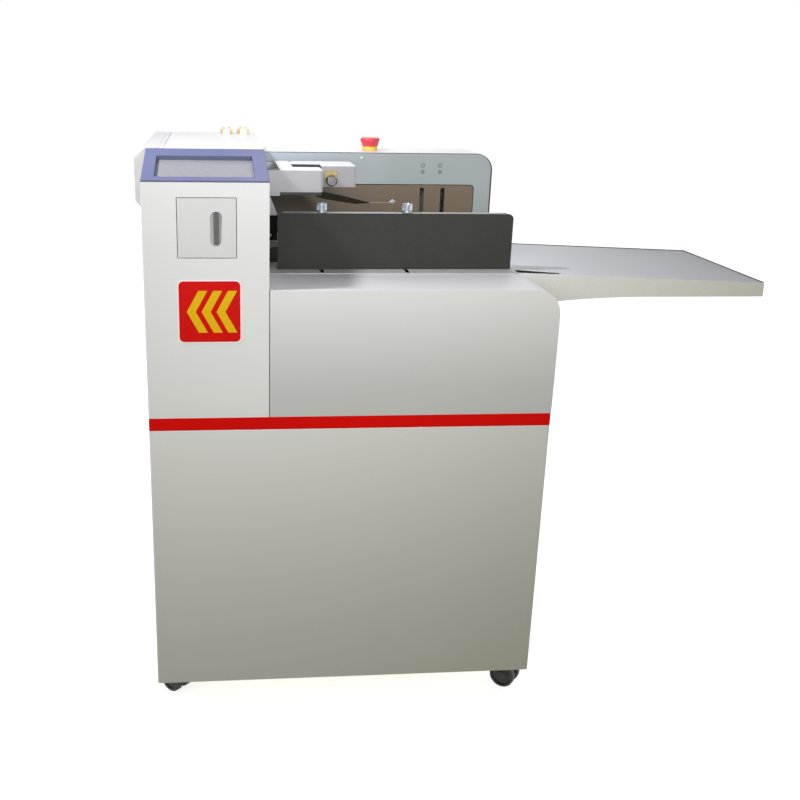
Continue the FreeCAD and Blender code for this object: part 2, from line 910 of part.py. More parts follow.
def tower_front_panel():
    """Front sheet folded back into the left side below the hood."""
    top = f"({CONSOLE_FRONT} - {LIP_DROP})"
    front = box("tower_front_sheet", ("0", "0", TRIM_TOP), ("tower_width", "skin", top))
    side = box(
        "tower_side_sheet",
        ("0", "0", TRIM_TOP),
        (
            "skin",
            "case_depth - skin",
            f"{HOOD_BASE} - 2 * skin",
        ),
    )
    ear = prism(
        "tower_side_ear",
        "YZ",
        [
            ("0", TRIM_TOP),
            ("hood_front - hood_clear", TRIM_TOP),
            ("hood_front - hood_clear", f"{TOWER_LEVEL} - {LIP_DROP}"),
            (CONSOLE_BACK, f"{TOWER_LEVEL} - {LIP_DROP}"),
            ("skin", top),
            ("0", top),
        ],
        "0",
        "skin",
    )
    lugs = []
    for name, low, high in (
        ("low", f"{DOOR_LOW} - door_gap - 2 * door_pin_reach", f"{DOOR_LOW} - door_gap"),
        (
            "high",
            f"{DOOR_LOW} + door_height + door_gap",
            f"{DOOR_LOW} + door_height + door_gap + 2 * door_pin_reach",
        ),
    ):
        lugs.append(
            box(
                f"door_lug_{name}",
                ("door_left - door_thick", "0", low),
                ("door_left + 2 * door_thick", "door_thick + door_gap", high),
            )
        )
    folded = rounded(
        "tower_front_folded",
        fuse("tower_front_sheets", front, side, ear, *lugs),
        "fold_radius - skin",
        lambda edge: along("Z")(edge) and edge_near(edge, x="0", y="0"),
    )
    opening = box(
        "door_opening",
        ("door_left - door_gap", "-skin", f"{DOOR_LOW} - door_gap"),
        (
            "door_left + door_width + door_gap",
            "2 * skin + door_gap",
            f"{DOOR_LOW} + door_height + door_gap",
        ),
    )
    bore = rod(
        "door_pin_bores",
        "Z",
        (
            "door_left + door_thick / 2",
            "door_thick / 2",
            f"{DOOR_LOW} - door_gap - door_pin_reach - door_gap",
        ),
        "door_pin + running_gap",
        "door_height + 4 * door_gap + 2 * door_pin_reach",
    )
    slot = box(
        "exit_slot",
        ("-skin", "unit_front + plate_thick", f"{PATH} - exit_height / 2"),
        ("2 * skin", "unit_back", f"{PATH} + exit_height / 2"),
    )
    return cut("tower_front_panel", folded, opening, bore, slot)


def tower_cover():
    """Top, back and right side of the tower; the right side has the feed throat."""
    top = box(
        "tower_top_sheet",
        ("hinge_line + barrel_radius + hinge_gap", CONSOLE_BACK, f"{TOWER_LEVEL} - skin"),
        ("tower_width", "case_depth", TOWER_LEVEL),
    )
    back = box(
        "tower_back_sheet",
        ("0", "case_depth - skin", "deck_level"),
        (
            "tower_width",
            "case_depth",
            TOWER_LEVEL,
        ),
    )
    end_top = box(
        "tower_end_top",
        ("0", "case_depth - hood_rear + hood_clear", f"{TOWER_LEVEL} - skin"),
        ("hinge_line + barrel_radius + 2 * hinge_gap", "case_depth", TOWER_LEVEL),
    )
    end_side = box(
        "tower_end_side",
        ("0", "case_depth - hood_rear + hood_clear", f"{HOOD_BASE} - 2 * skin"),
        ("skin", "case_depth", TOWER_LEVEL),
    )
    side = prism(
        "tower_right_side",
        "YZ",
        [
            ("skin", "deck_level"),
            ("case_depth", "deck_level"),
            ("case_depth", TOWER_LEVEL),
            (CONSOLE_BACK, TOWER_LEVEL),
            (CONSOLE_BACK, f"{TOWER_LEVEL} - {LIP_DROP}"),
            ("skin", f"{CONSOLE_FRONT} - {LIP_DROP}"),
        ],
        "tower_width - skin",
        "tower_width",
    )
    throat = box(
        "feed_throat",
        ("tower_width - 2 * skin", "bridge_front - feed_width", "deck_level - 1"),
        ("tower_width + skin", "bridge_front", f"{DECK_TOP} + throat_height"),
    )
    return cut("tower_cover", fuse("tower_cover_sheets", top, back, end_top, end_side, side), throat)


def on_console(label, *pieces):
    """Lays pieces modelled flat from the bezel's front top edge onto the sloping console."""
    laid = group(label, *pieces)
    laid.Placement = FreeCAD.Placement(FreeCAD.Vector(), FreeCAD.Rotation(FreeCAD.Vector(1, 0, 0), 1))
    bind(laid, Placement__Rotation__Angle="console_slope")
    case_at(laid, "0", "console_start", CONSOLE_FRONT)
    return laid


def on_console_top(edge):
    """Tests whether an edge lies on the bezel's sloping upper face."""
    middle = edge.CenterOfMass
    run = middle.y + number(MIDDLE_Y) - number("console_start")
    level = number(CONSOLE_FRONT) + run * math.tan(math.radians(number("console_slope")))
    return abs(middle.z - level) < 1e-3


def console_bezel():
    """Sloping frame whose thin lip rests on the sheets, with its body dropped in between them."""
    lip = prism(
        "bezel_lip_slab",
        "YZ",
        [
            ("console_start", f"{CONSOLE_FRONT} - {LIP_DROP}"),
            (CONSOLE_BACK, f"{TOWER_LEVEL} - {LIP_DROP}"),
            (CONSOLE_BACK, TOWER_LEVEL),
            ("console_start", CONSOLE_FRONT),
        ],
        "0",
        "tower_width",
    )
    start = "(skin + seam)"
    rise = f"(({start} - console_start) * tan(console_slope))"
    body = prism(
        "bezel_body",
        "YZ",
        [
            (start, f"{CONSOLE_FRONT} + {rise} - {BEZEL_DROP}"),
            (CONSOLE_BACK, f"{TOWER_LEVEL} - {BEZEL_DROP}"),
            (CONSOLE_BACK, f"{TOWER_LEVEL} - {LIP_DROP} / 2"),
            (start, f"{CONSOLE_FRONT} + {rise} - {LIP_DROP} / 2"),
        ],
        start,
        f"tower_width - {start}",
    )
    eased = rounded("bezel_eased", fuse("bezel_frame", lip, body), "bezel_round", on_console_top)
    opening = box(
        "bezel_opening",
        ("screen_left", "screen_low", "-2 * bezel_thick"),
        (f"screen_left + {SCREEN_WIDTH}", "screen_low + screen_height", "bezel_thick"),
        local=True,
    )
    return cut("console_bezel", eased, on_console("bezel_opening_laid", opening))


def touch_screen():
    glass = box(
        "screen_module",
        ("screen_left - screen_lap", "screen_low - screen_lap", "-bezel_thick - screen_thick"),
        (
            f"screen_left + {SCREEN_WIDTH} + screen_lap",
            "screen_low + screen_height + screen_lap",
            "-bezel_thick",
        ),
        local=True,
    )
    board = box(
        "screen_board",
        ("screen_left + screen_lap", "screen_low + screen_lap", "-bezel_thick - 2 * screen_thick"),
        (
            f"screen_left + {SCREEN_WIDTH} - screen_lap",
            "screen_low + screen_height - screen_lap",
            "-bezel_thick",
        ),
        local=True,
    )
    return on_console("touch_screen", fuse("screen_pieces", glass, board))


def hinge_knuckle(label, start, length):
    return rod(label, "Y", ("hinge_line", start, HINGE_LEVEL), "barrel_radius", length)


KNUCKLE_START = f"({CONSOLE_BACK} + 2 * skin)"
KNUCKLE_LENGTH = f"((case_depth - hood_rear - 3 * skin - {KNUCKLE_START}) / 4)"


def knuckle_start(index):
    return f"({KNUCKLE_START} + {index} * {KNUCKLE_LENGTH})"


def hood_hinge():
    """The fixed leaf under the tower's top, with two knuckles and the long pin."""
    pieces = [
        rod(
            "hood_hinge_pin",
            "Y",
            ("hinge_line", KNUCKLE_START, HINGE_LEVEL),
            "hinge_pin",
            f"4 * {KNUCKLE_LENGTH}",
        ),
        box(
            "hood_hinge_leaf",
            ("hinge_line + barrel_radius + hinge_gap", KNUCKLE_START, f"{TOWER_LEVEL} - 2 * skin"),
            (
                "hinge_line + barrel_radius + leaf_width",
                f"{KNUCKLE_START} + 4 * {KNUCKLE_LENGTH}",
                f"{TOWER_LEVEL} - skin",
            ),
        ),
    ]
    for index in (0, 2):
        pieces.append(
            hinge_knuckle(f"fixed_knuckle_{index}", knuckle_start(index), f"{KNUCKLE_LENGTH} - seam"),
        )
        pieces.append(
            box(
                f"fixed_tab_{index}",
                ("hinge_line", knuckle_start(index), f"{TOWER_LEVEL} - 2 * skin"),
                (
                    "hinge_line + barrel_radius + 2 * hinge_gap",
                    f"{knuckle_start(index)} + {KNUCKLE_LENGTH} - seam",
                    f"{TOWER_LEVEL} - 1.5 * skin",
                ),
            )
        )
    return fuse("hood_hinge", *pieces)


def delivery_hood():
    """Cover over the delivery side: top, left wall, turned-in lower edge and end caps."""
    right = "(hinge_line - barrel_radius - hinge_gap)"
    back = "(case_depth - hood_rear)"
    lip = f"({HOOD_BASE} + hood_turn)"
    shell = prism(
        "hood_shell",
        "XZ",
        [
            (right, TOWER_LEVEL),
            ("-hood_reach + hood_chamfer", TOWER_LEVEL),
            ("-hood_reach", f"{TOWER_LEVEL} - hood_chamfer"),
            ("-hood_reach", lip),
            ("-hood_clear", HOOD_BASE),
            ("-hood_clear", f"{HOOD_BASE} + 1.6 * skin"),
            ("-hood_reach + skin", f"{lip} + skin / 2"),
            ("-hood_reach + skin", f"{TOWER_LEVEL} - hood_chamfer - skin / 2"),
            ("-hood_reach + hood_chamfer + skin / 2", f"{TOWER_LEVEL} - skin"),
            (right, f"{TOWER_LEVEL} - skin"),
        ],
        "hood_front",
        back,
    )
    caps = []
    for name, start in (("front", "hood_front"), ("back", f"({back} - skin)")):
        caps.append(
            prism(
                f"hood_cap_{name}",
                "XZ",
                [
                    ("-hood_clear", TOWER_LEVEL),
                    ("-hood_reach + hood_chamfer", TOWER_LEVEL),
                    ("-hood_reach", f"{TOWER_LEVEL} - hood_chamfer"),
                    ("-hood_reach", lip),
                    ("-hood_clear", HOOD_BASE),
                ],
                start,
                f"{start} + skin",
            )
        )
    knuckles = []
    for index in (1, 3):
        knuckles.append(
            hinge_knuckle(f"moving_knuckle_{index}", knuckle_start(index), f"{KNUCKLE_LENGTH} - seam"),
        )
        knuckles.append(
            box(
                f"moving_tab_{index}",
                (f"{right} - hinge_gap", knuckle_start(index), f"{TOWER_LEVEL} - skin"),
                (
                    "hinge_line",
                    f"{knuckle_start(index)} + {KNUCKLE_LENGTH} - seam",
                    f"{TOWER_LEVEL} - skin / 2",
                ),
            )
        )
    bore = rod(
        "hood_pin_bore",
        "Y",
        ("hinge_line", f"{KNUCKLE_START} - 1", HINGE_LEVEL),
        "hinge_pin + running_gap",
        f"4 * {KNUCKLE_LENGTH} + 2",
    )
    return cut("delivery_hood", fuse("hood_sheets", shell, *caps, *knuckles), bore)


def access_door():
    """Small door on two pin stubs, with a tapered finger pull through a cup on its back."""
    leaf = box(
        "door_leaf",
        ("door_left", "0", DOOR_LOW),
        ("door_left + door_width", "door_thick", f"{DOOR_LOW} + door_height"),
    )
    pins = rod(
        "door_pins",
        "Z",
        ("door_left + door_thick / 2", "door_thick / 2", f"{DOOR_LOW} - door_gap - door_pin_reach"),
        "door_pin",
        "door_height + 2 * door_gap + 2 * door_pin_reach",
    )
    left = "(door_left + pull_left)"
    low = f"({DOOR_LOW} + pull_low)"
    cup = box(
        "door_cup",
        (f"{left} - pull_rim", "0", f"{low} - pull_rim"),
        (f"{left} + pull_width + pull_rim", "pull_depth", f"{low} + pull_height + pull_rim"),
    )
    rim = doc.addObject("Sketcher::SketchObject", "pull_outline")
    x_low, x_high = number(left), number(f"{left} + pull_width")
    z_low, z_high = number(f"{low} + pull_width / 2"), number(f"{low} + pull_height - pull_width / 2")
    radius = (x_high - x_low) / 2
    centre = (x_low + x_high) / 2
    rim.addGeometry(Part.Arc(
        FreeCAD.Vector(x_high, z_high),
        FreeCAD.Vector(centre, z_high + radius),
        FreeCAD.Vector(
            x_low,
            z_high,
        ),
    ))
    rim.addGeometry(Part.LineSegment(FreeCAD.Vector(x_low, z_high), FreeCAD.Vector(x_low, z_low)))
    rim.addGeometry(Part.Arc(
        FreeCAD.Vector(x_low, z_low),
        FreeCAD.Vector(centre, z_low - radius),
        FreeCAD.Vector(
            x_high,
            z_low,
        ),
    ))
    rim.addGeometry(Part.LineSegment(FreeCAD.Vector(x_high, z_low), FreeCAD.Vector(x_high, z_high)))
    for first, first_end, second, second_end in (
        (0, 2, 1, 1),
        (1, 2, 2, 1),
        (2, 2, 3, 1),
        (3, 2, 0, 1),
    ):
        rim.addConstraint(Sketcher.Constraint("Tangent", first, first_end, second, second_end))
    for geometry, direction, text in (
        (1, "DistanceX", left),
        (1, "DistanceY", f"{low} + pull_height - pull_width / 2"),
    ):
        index = rim.addConstraint(Sketcher.Constraint(direction, -1, 1, geometry, 1, number(text)))
        rim.setExpression(f"Constraints[{index}]", bound(text))
    index = rim.addConstraint(Sketcher.Constraint("Radius", 0, radius))
    rim.setExpression(f"Constraints[{index}]", bound("pull_width / 2"))
    index = rim.addConstraint(Sketcher.Constraint("DistanceY", 1, 2, 1, 1, z_high - z_low))
    rim.setExpression(f"Constraints[{index}]", bound("pull_height - pull_width"))
    rim.addConstraint(Sketcher.Constraint("Vertical", 1))
    rim.Placement = FreeCAD.Placement(FreeCAD.Vector(), FreeCAD.Rotation(FreeCAD.Vector(1, 0, 0), 90))
    case_at(rim, "0", "0", "0")
    pull = doc.addObject("Part::Extrusion", "door_pull")
    pull.Base = rim
    pull.DirMode = "Custom"
    pull.Dir = FreeCAD.Vector(0, 1, 0)
    pull.Solid = True
    bind(pull, LengthFwd="pull_depth", TaperAngle="-pull_taper")
    return cut("access_door", fuse("door_sheets", leaf, pins, cup), pull)


def air_fittings():
    """Two hexagonal brass fittings on the tower's top."""
    pieces = []
    for name, line in (("first", FITTING_FIRST), ("second", FITTING_SECOND)):
        hexagon = doc.addObject("Part::Prism", f"fitting_{name}_hexagon")
        hexagon.Polygon = 6
        bind(hexagon, Circumradius="fitting_radius", Height="fitting_height")
        case_at(hexagon, line, FITTING_LINE, TOWER_LEVEL)
        neck = rod(
            f"fitting_{name}_neck",
            "Z",
            (line, FITTING_LINE, f"{TOWER_LEVEL} + fitting_height"),
            "fitting_neck",
            "fitting_rise",
        )
        pieces.append(fuse(f"fitting_{name}", hexagon, neck))
    return group("air_fittings", *pieces)


# ---- bridge ----------------------------------------------------------------------------------------


def bridge_outline(inset, bottom):
    return [
        (f"tower_width + {inset}", bottom),
        (f"{BRIDGE_END} - {inset}", bottom),
        (f"{BRIDGE_END} - {inset}", f"{BRIDGE_LEVEL} - {inset}"),
        (f"tower_width + {inset}", f"{BRIDGE_LEVEL} - {inset}"),
    ]


def bridge_housing():
    outer = prism(
        "bridge_outer",
        "XZ",
        bridge_outline("0", "deck_level"),
        "bridge_front + pane_thick",
        "case_depth",
        corners={2: "bridge_corner"},
    )
    inner = prism(
        "bridge_inner",
        "XZ",
        bridge_outline("skin", "deck_level - 1"),
        "bridge_front + pane_thick - 1",
        "case_depth - skin",
        corners={2: "bridge_corner - skin"},
    )
    hole = rod(
        "bridge_stop_hole",
        "Z",
        ("stop_centre", STOP_LINE, f"{BRIDGE_LEVEL} - 2 * skin"),
        "stop_barrel + running_gap",
        "3 * skin",
    )
    return cut("bridge_housing", outer, inner, hole)


def rounded_pane(label, low, high, front, back, radius):
    return prism(
        label,
        "XZ",
        [(low[0], low[1]), (high[0], low[1]), (high[0], high[1]), (low[0], high[1])],
        front,
        back,
        corners={0: radius, 1: radius, 2: radius, 3: radius},
    )


def bridge_front_panel():
    pane = prism(
        "bridge_pane",
        "XZ",
        bridge_outline("0", "deck_level"),
        "bridge_front",
        "bridge_front + pane_thick",
        corners={2: "bridge_corner"},
    )
    opening = rounded_pane(
        "window_opening",
        (WINDOW_LEFT, WINDOW_LOW),
        (WINDOW_RIGHT, WINDOW_TOP),
        "bridge_front - 1",
        "bridge_front + pane_thick + 1",
        "window_round",
    )
    return cut("bridge_front_panel", pane, opening)


def bridge_window():
    """Tinted pane with two upright slots for the air levers."""
    pane = rounded_pane(
        "window_pane",
        (f"{WINDOW_LEFT} + window_gap", f"{WINDOW_LOW} + window_gap"),
        (f"{WINDOW_RIGHT} - window_gap", f"{WINDOW_TOP} - window_gap"),
        "bridge_front + window_gap",
        "bridge_front + window_gap + window_thick",
        "window_round - window_gap",
    )
    slots = []
    for name, line in (("first", VENT_FIRST), ("second", VENT_SECOND)):
        slots.append(
            box(
                f"vent_slot_{name}",
                (f"{line} - vent_width / 2", "bridge_front - 1", VENT_LOW),
                (f"{line} + vent_width / 2", "bridge_front + pane_thick + 1", VENT_TOP),
            )
        )
    return cut("bridge_window", pane, *slots)


def air_lever(name, line):
    """A slider in its slot: finger pad in front, stem through the slot, shoe behind."""
    low = f"({VENT_LOW} + skin)"
    high = f"({low} + lever_height)"
    stem = box(
        f"{name}_stem",
        (f"{line} - vent_width / 2 + seam", "bridge_front - 2 * skin", low),
        (f"{line} + vent_width / 2 - seam", "bridge_front + pane_thick + 3 * skin", high),
    )
    pad = box(
        f"{name}_pad",
        (f"{line} - vent_width", "bridge_front - 4 * skin", low),
        (f"{line} + vent_width", "bridge_front - skin / 2", high),
    )
    shoe = box(
        f"{name}_shoe",
        (f"{line} - vent_width", "bridge_front + pane_thick + skin / 2", low),
        (f"{line} + vent_width", "bridge_front + pane_thick + 3 * skin", high),
    )
    return fuse(name, stem, pad, shoe)


def estop_base():
    """Yellow ring, threaded barrel through the housing and lock nut below it."""
    middle = ("stop_centre", STOP_LINE)
    ring = rod("stop_ring_disc", "Z", (*middle, BRIDGE_LEVEL), "stop_ring", "stop_ring_height")
    barrel = rod(
        "stop_barrel_tube",
        "Z",
        (*middle, f"{BRIDGE_LEVEL} - stop_depth"),
        "stop_barrel",
        "stop_depth + stop_ring_height",
    )
    nut = rod("stop_nut", "Z", (*middle, f"{BRIDGE_LEVEL} - 3 * skin"), "stop_ring - skin", "2 * skin")
    bore = rod(
        "stop_bore",
        "Z",
        (*middle, f"{BRIDGE_LEVEL} - stop_depth - 1"),
        "stop_stem + running_gap",
        "stop_depth + stop_ring_height + 2",
    )
    return cut("estop_base", fuse("stop_base_pieces", ring, barrel, nut), bore)


def estop_stem():
    start = f"({BRIDGE_LEVEL} - stop_depth + stop_travel + skin)"
    return rod(
        "estop_stem",
        "Z",
        ("stop_centre", STOP_LINE, start),
        "stop_stem",
        f"{STOP_STEM_TOP} - {start}",
    )


def estop_head():
    """Dished mushroom head that turns on its stem; its rim comes down round the ring when pressed."""
    middle = ("stop_centre", STOP_LINE)
    flare = cone("stop_flare", (*middle, STOP_RIM), "stop_neck", "stop_head", "stop_cone")
    cap = rod("stop_cap_disc", "Z", (*middle, f"{STOP_RIM} + stop_cone"), "stop_head", "stop_cap")
    crown = cone(
        "stop_crown_cone",
        (*middle, STOP_STEM_TOP),
        "stop_head",
        "stop_head - stop_crown",
        "stop_crown",
    )
    dish = rod(
        "stop_dish", "Z", (*middle, f"{STOP_RIM} - 1"), "stop_ring + stop_gap", "stop_travel + seam + 1"
    )
    bore = rod(
        "stop_head_bore",
        "Z",
        (*middle, f"{STOP_RIM} - 1"),
        "stop_stem + running_gap",
        f"{STOP_STEM_TOP} + running_gap - {STOP_RIM} + 1",
    )
    return cut("estop_head", fuse("stop_head_pieces", flare, cap, crown), dish, bore)


# ---- feed head -------------------------------------------------------------------------------------


def feed_head_bracket():
    """Stepped sheet-metal head fixed to the tower's side, with the arm's lugs and pin below it."""
    top = f"({HEAD_LOW} + head_height)"

    def stepped(label, inset, low, high):
        return prism(
            label,
            "XY",
            [
                (f"tower_width + {inset}", f"head_front + {inset}"),
                (f"{HEAD_SHORT} - {inset}", f"head_front + {inset}"),
                (f"{HEAD_SHORT} - {inset}", f"head_step + {inset}"),
                (f"{HEAD_LONG} - {inset}", f"head_step + {inset}"),
                (f"{HEAD_LONG} - {inset}", f"head_back - {inset}"),
                (f"tower_width + {inset}", f"head_back - {inset}"),
            ],
            low,
            high,
            corners={
                1: f"fold_radius - {inset}",
                3: f"fold_radius - {inset}",
                4: f"fold_radius - {inset}",
            },
        )

    outer = stepped("head_outer", "0", HEAD_LOW, top)
    inner = stepped("head_inner", "skin", f"{HEAD_LOW} - 1", f"{top} - skin")
    slot = box(
        "head_top_slot",
        (HEAD_SLOT_LEFT, HEAD_SLOT_FRONT, f"{top} - 2 * skin"),
        (HEAD_SLOT_RIGHT, HEAD_SLOT_BACK, f"{top} + 1"),
    )
    gap = box(
        "head_top_gap",
        ("tower_width + skin", "head_front + skin", f"{top} - 2 * skin"),
        ("tower_width + head_open", "head_back - skin", f"{top} + 1"),
    )
    screw_hole = rod(
        "head_screw_hole",
        "Y",
        (KNOB_LINE, "head_step - 1", KNOB_LEVEL),
        "knob_screw + running_gap",
        "skin + 2",
    )
    shell = cut("head_shell", outer, inner, slot, gap, screw_hole)
    rail = box(
        "arm_rail",
        (f"{ARM_PIVOT} - arm_barrel", f"{ARM_BACK} - arm_width", HEAD_LOW),
        (f"{ARM_PIVOT} + arm_barrel", "head_back - skin", f"{HEAD_LOW} + 2 * skin"),
    )
    lugs = []
    for name, near, far in (
        ("front", f"{ARM_BACK} - arm_width / 2 - seam - skin", f"{ARM_BACK} - arm_width / 2 - seam"),
        ("back", f"{ARM_BACK} + arm_width / 2 + seam", f"{ARM_BACK} + arm_width / 2 + seam + skin"),
    ):
        lugs.append(
            box(
                f"arm_lug_{name}",
                (f"{ARM_PIVOT} - arm_barrel", near, f"{ARM_PIVOT_LEVEL} - arm_barrel"),
                (f"{ARM_PIVOT} + arm_barrel", far, f"{HEAD_LOW} + skin"),
            )
        )
    pin = rod(
        "arm_pin_rod",
        "Y",
        (ARM_PIVOT, f"{ARM_BACK} - arm_width / 2 - seam - skin", ARM_PIVOT_LEVEL),
        "arm_pin",
        "arm_width + 2 * seam + 2 * skin",
    )
    return fuse("feed_head_bracket", shell, rail, *lugs, pin)


def separator_plate():
    plate = box(
        "brass_sheet",
        (BRASS_LEFT, "head_step - brass_thick", BRASS_LOW),
        (f"{BRASS_LEFT} + brass_width", "head_step", f"{BRASS_LOW} + brass_height"),
    )
    hole = rod(
        "brass_hole",
        "Y",
        (KNOB_LINE, "head_step - brass_thick - 1", KNOB_LEVEL),
        "knob_screw + running_gap",
        "brass_thick + 2",
    )
    return cut("separator_plate", plate, hole)


def separator_knob():
    """Knurled adjusting knob on its screw."""
    front = "(head_step - brass_thick - seam - knob_length)"
    knob = rod("knob_disc", "Y", (KNOB_LINE, front, KNOB_LEVEL), "knob_radius", "knob_length")
    screw = rod(
        "knob_screw_rod",
        "Y",
        (KNOB_LINE, front, KNOB_LEVEL),
        "knob_screw",
        "knob_length + seam + brass_thick + 3 * skin",
    )
    return fuse("separator_knob", knob, screw)


def hold_down_arm():
    """Thin bent strip that swings on the pin below the head, with a small foot at its end."""
    strip = prism(
        "arm_strip",
        "XZ",
        [
            (ARM_PIVOT, f"{ARM_PIVOT_LEVEL} - arm_barrel"),
            (ARM_BEND, ARM_BEND_LEVEL),
            (ARM_END, ARM_END_LEVEL),
            (ARM_END, f"{ARM_END_LEVEL} + arm_thick"),
            (ARM_BEND, f"{ARM_BEND_LEVEL} + arm_thick"),
            (ARM_PIVOT, f"{ARM_PIVOT_LEVEL} - arm_barrel + arm_thick"),
        ],
        f"{ARM_BACK} - arm_width / 2",
        f"{ARM_BACK} + arm_width / 2",
    )
    barrel = rod(
        "arm_barrel_tube",
        "Y",
        (ARM_PIVOT, f"{ARM_BACK} - arm_width / 2", ARM_PIVOT_LEVEL),
        "arm_barrel",
        "arm_width",
    )
    foot = box(
        "arm_foot_block",
        (f"{ARM_END} - skin", f"{ARM_BACK} - arm_foot / 2", f"{ARM_END_LEVEL} - arm_foot / 3"),
        (
            f"{ARM_END} + arm_foot - skin",
            f"{ARM_BACK} + arm_foot / 2",
            f"{ARM_END_LEVEL} + arm_foot / 3",
        ),
    )
    bore = rod(
        "arm_bore",
        "Y",
        (ARM_PIVOT, f"{ARM_BACK} - arm_width", ARM_PIVOT_LEVEL),
        "arm_pin + running_gap",
        "2 * arm_width",
    )
    return cut("hold_down_arm", fuse("arm_pieces", strip, barrel, foot), bore)


def throat_guide():
    """Slanting guide over the throat, closed by a gusset at its front."""

    def wedge(label, inset, low, front, back):
        return prism(
            label,
            "XZ",
            [
                (f"tower_width + {inset}", low),
                (f"tower_width + guide_reach - {inset}", low),
                (f"tower_width + guide_top - {inset}", HEAD_LOW),
                (f"tower_width + {inset}", HEAD_LOW),
            ],
            front,
            back,
        )

    outer = wedge("guide_outer", "0", GUIDE_LOW, "guide_front", "guide_front + guide_length")
    inner = wedge(
        "guide_inner",
        "skin",
        f"{GUIDE_LOW} + skin",
        "guide_front + skin",
        "guide_front + guide_length + 1",
    )
    return cut("throat_guide", outer, inner)


# ---- fence -----------------------------------------------------------------------------------------


FENCE_BASE = f"({DECK_TOP} + fence_gap)"
POST_LINE = f"({FENCE_FRONT} + fence_flange / 2)"


def fence_plate():
    """Front guide: upright plate with a top flange and a foot flange turned to the back."""
    plate = prism(
        "fence_sheet",
        "XZ",
        [
            (FENCE_LEFT, FENCE_BASE),
            (FENCE_RIGHT, FENCE_BASE),
            (FENCE_RIGHT, FENCE_TOP),
            (FENCE_LEFT, FENCE_TOP),
        ],
        FENCE_FRONT,
        f"{FENCE_FRONT} + skin",
        corners={2: "fence_corner", 3: "fence_corner"},
    )
    flange = box(
        "fence_top_flange",
        (f"{FENCE_LEFT} + fence_corner", FENCE_FRONT, f"{FENCE_TOP} - skin"),
        (f"{FENCE_RIGHT} - fence_corner", f"{FENCE_FRONT} + fence_flange", FENCE_TOP),
    )
    foot = box(
        "fence_foot_flange",
        (FENCE_LEFT, FENCE_FRONT, FENCE_BASE),
        (FENCE_RIGHT, f"{FENCE_FRONT} + fence_flange", f"{FENCE_BASE} + skin"),
    )
    bores = []
    for name, line in (("first", SLOT_FIRST), ("second", SLOT_SECOND)):
        bores.append(
            rod(
                f"fence_bore_{name}",
                "Z",
                (line, POST_LINE, f"{FENCE_BASE} - 1"),
                "post_rod + running_gap",
                f"{FENCE_TOP} - deck_level",
            )
        )
    return cut("fence_plate", fuse("fence_sheets", plate, flange, foot), *bores)


def clamp_post(name, line):
    """Knurled post on the fence whose rod reaches a clamping nut under the deck."""
    nut_top = "(deck_level - fence_gap)"
    knob = rod(
        f"{name}_knob",
        "Z",
        (line, POST_LINE, f"{FENCE_TOP} + fence_gap"),
        "post_radius",
        "post_height",
    )
    shank = rod(
        f"{name}_rod",
        "Z",
        (line, POST_LINE, f"{nut_top} - post_nut_height"),
        "post_rod",
        f"{FENCE_TOP} + fence_gap + post_height - {nut_top} + post_nut_height",
    )
    nut = rod(
        f"{name}_nut",
        "Z",
        (line, POST_LINE, f"{nut_top} - post_nut_height"),
        "post_nut",
        "post_nut_height",
    )
    return fuse(name, knob, shank, nut)


# ---- creasing unit and drive -------------------------------------------------------------------------


SHAFT_LENGTH = "(unit_back - unit_front + plate_thick + 2 * journal_reach)"
SHAFT_START = "(unit_front - journal_reach)"


def unit_side_plates():
    """Two plates on the bed that carry the rollers, the die bar, the beam and the shaft."""
    plates = []
    for name, front in (("front", "unit_front"), ("back", "unit_back")):
        back = f"{front} + plate_thick"
        plate = box(
            f"side_plate_{name}",
            ("plate_inset", front, BED_TOP),
            ("tower_width - plate_inset", back, PLATE_TOP),
        )
        tools = []
        for line, level, radius in (
            (INFEED_LINE, NIP_LOW, "journal"),
            (INFEED_LINE, NIP_HIGH, "journal"),
            (OUTFEED_LINE, NIP_LOW, "journal"),
            (OUTFEED_LINE, NIP_HIGH, "journal"),
            (CREASE_LINE, SHAFT_LEVEL, "shaft_radius"),
            (CREASE_LINE, MOTOR_LEVEL, "journal + skin"),
        ):
            tools.append(
                rod(
                    f"side_bore_{name}_{len(tools)}",
                    "Y",
                    (line, f"{front} - 1", level),
                    f"{radius} + running_gap",
                    "plate_thick + 2",
                )
            )
        tools.append(
            box(
                f"side_window_{name}",
                (f"{CREASE_LINE} - beam_width / 2 - running_gap", f"{front} - 1", f"{PATH} + skin"),
                (
                    f"{CREASE_LINE} + beam_width / 2 + running_gap",
                    f"{back} + 1",
                    f"{BEAM_TOP} + running_gap",
                ),
            )
        )
        plates.append(cut(f"unit_plate_{name}", plate, *tools))
    return group("unit_side_plates", *plates)


def roller(name, line, level, driven):
    """Feed roller with journals; a lower one carries its belt pulley in front of the plate."""
    start = UNIT_INNER_FRONT
    pieces = [
        rod(
            f"{name}_drum",
            "Y",
            (line, f"{start} + seam", level),
            "roller_radius",
            "unit_back - unit_front - plate_thick - 2 * seam",
        ),
        rod(f"{name}_shaft", "Y", (line, SHAFT_START, level), "journal", SHAFT_LENGTH),
    ]
    if driven:
        pieces.append(pulley(f"{name}_pulley", line, level))
    return fuse(name, *pieces)


def pulley(name, line, level):
    return rod(
        name,
        "Y",
        (line, f"{SHAFT_START} - pulley_width + journal_reach / 2", level),
        "pulley_radius",
        "pulley_width",
    )


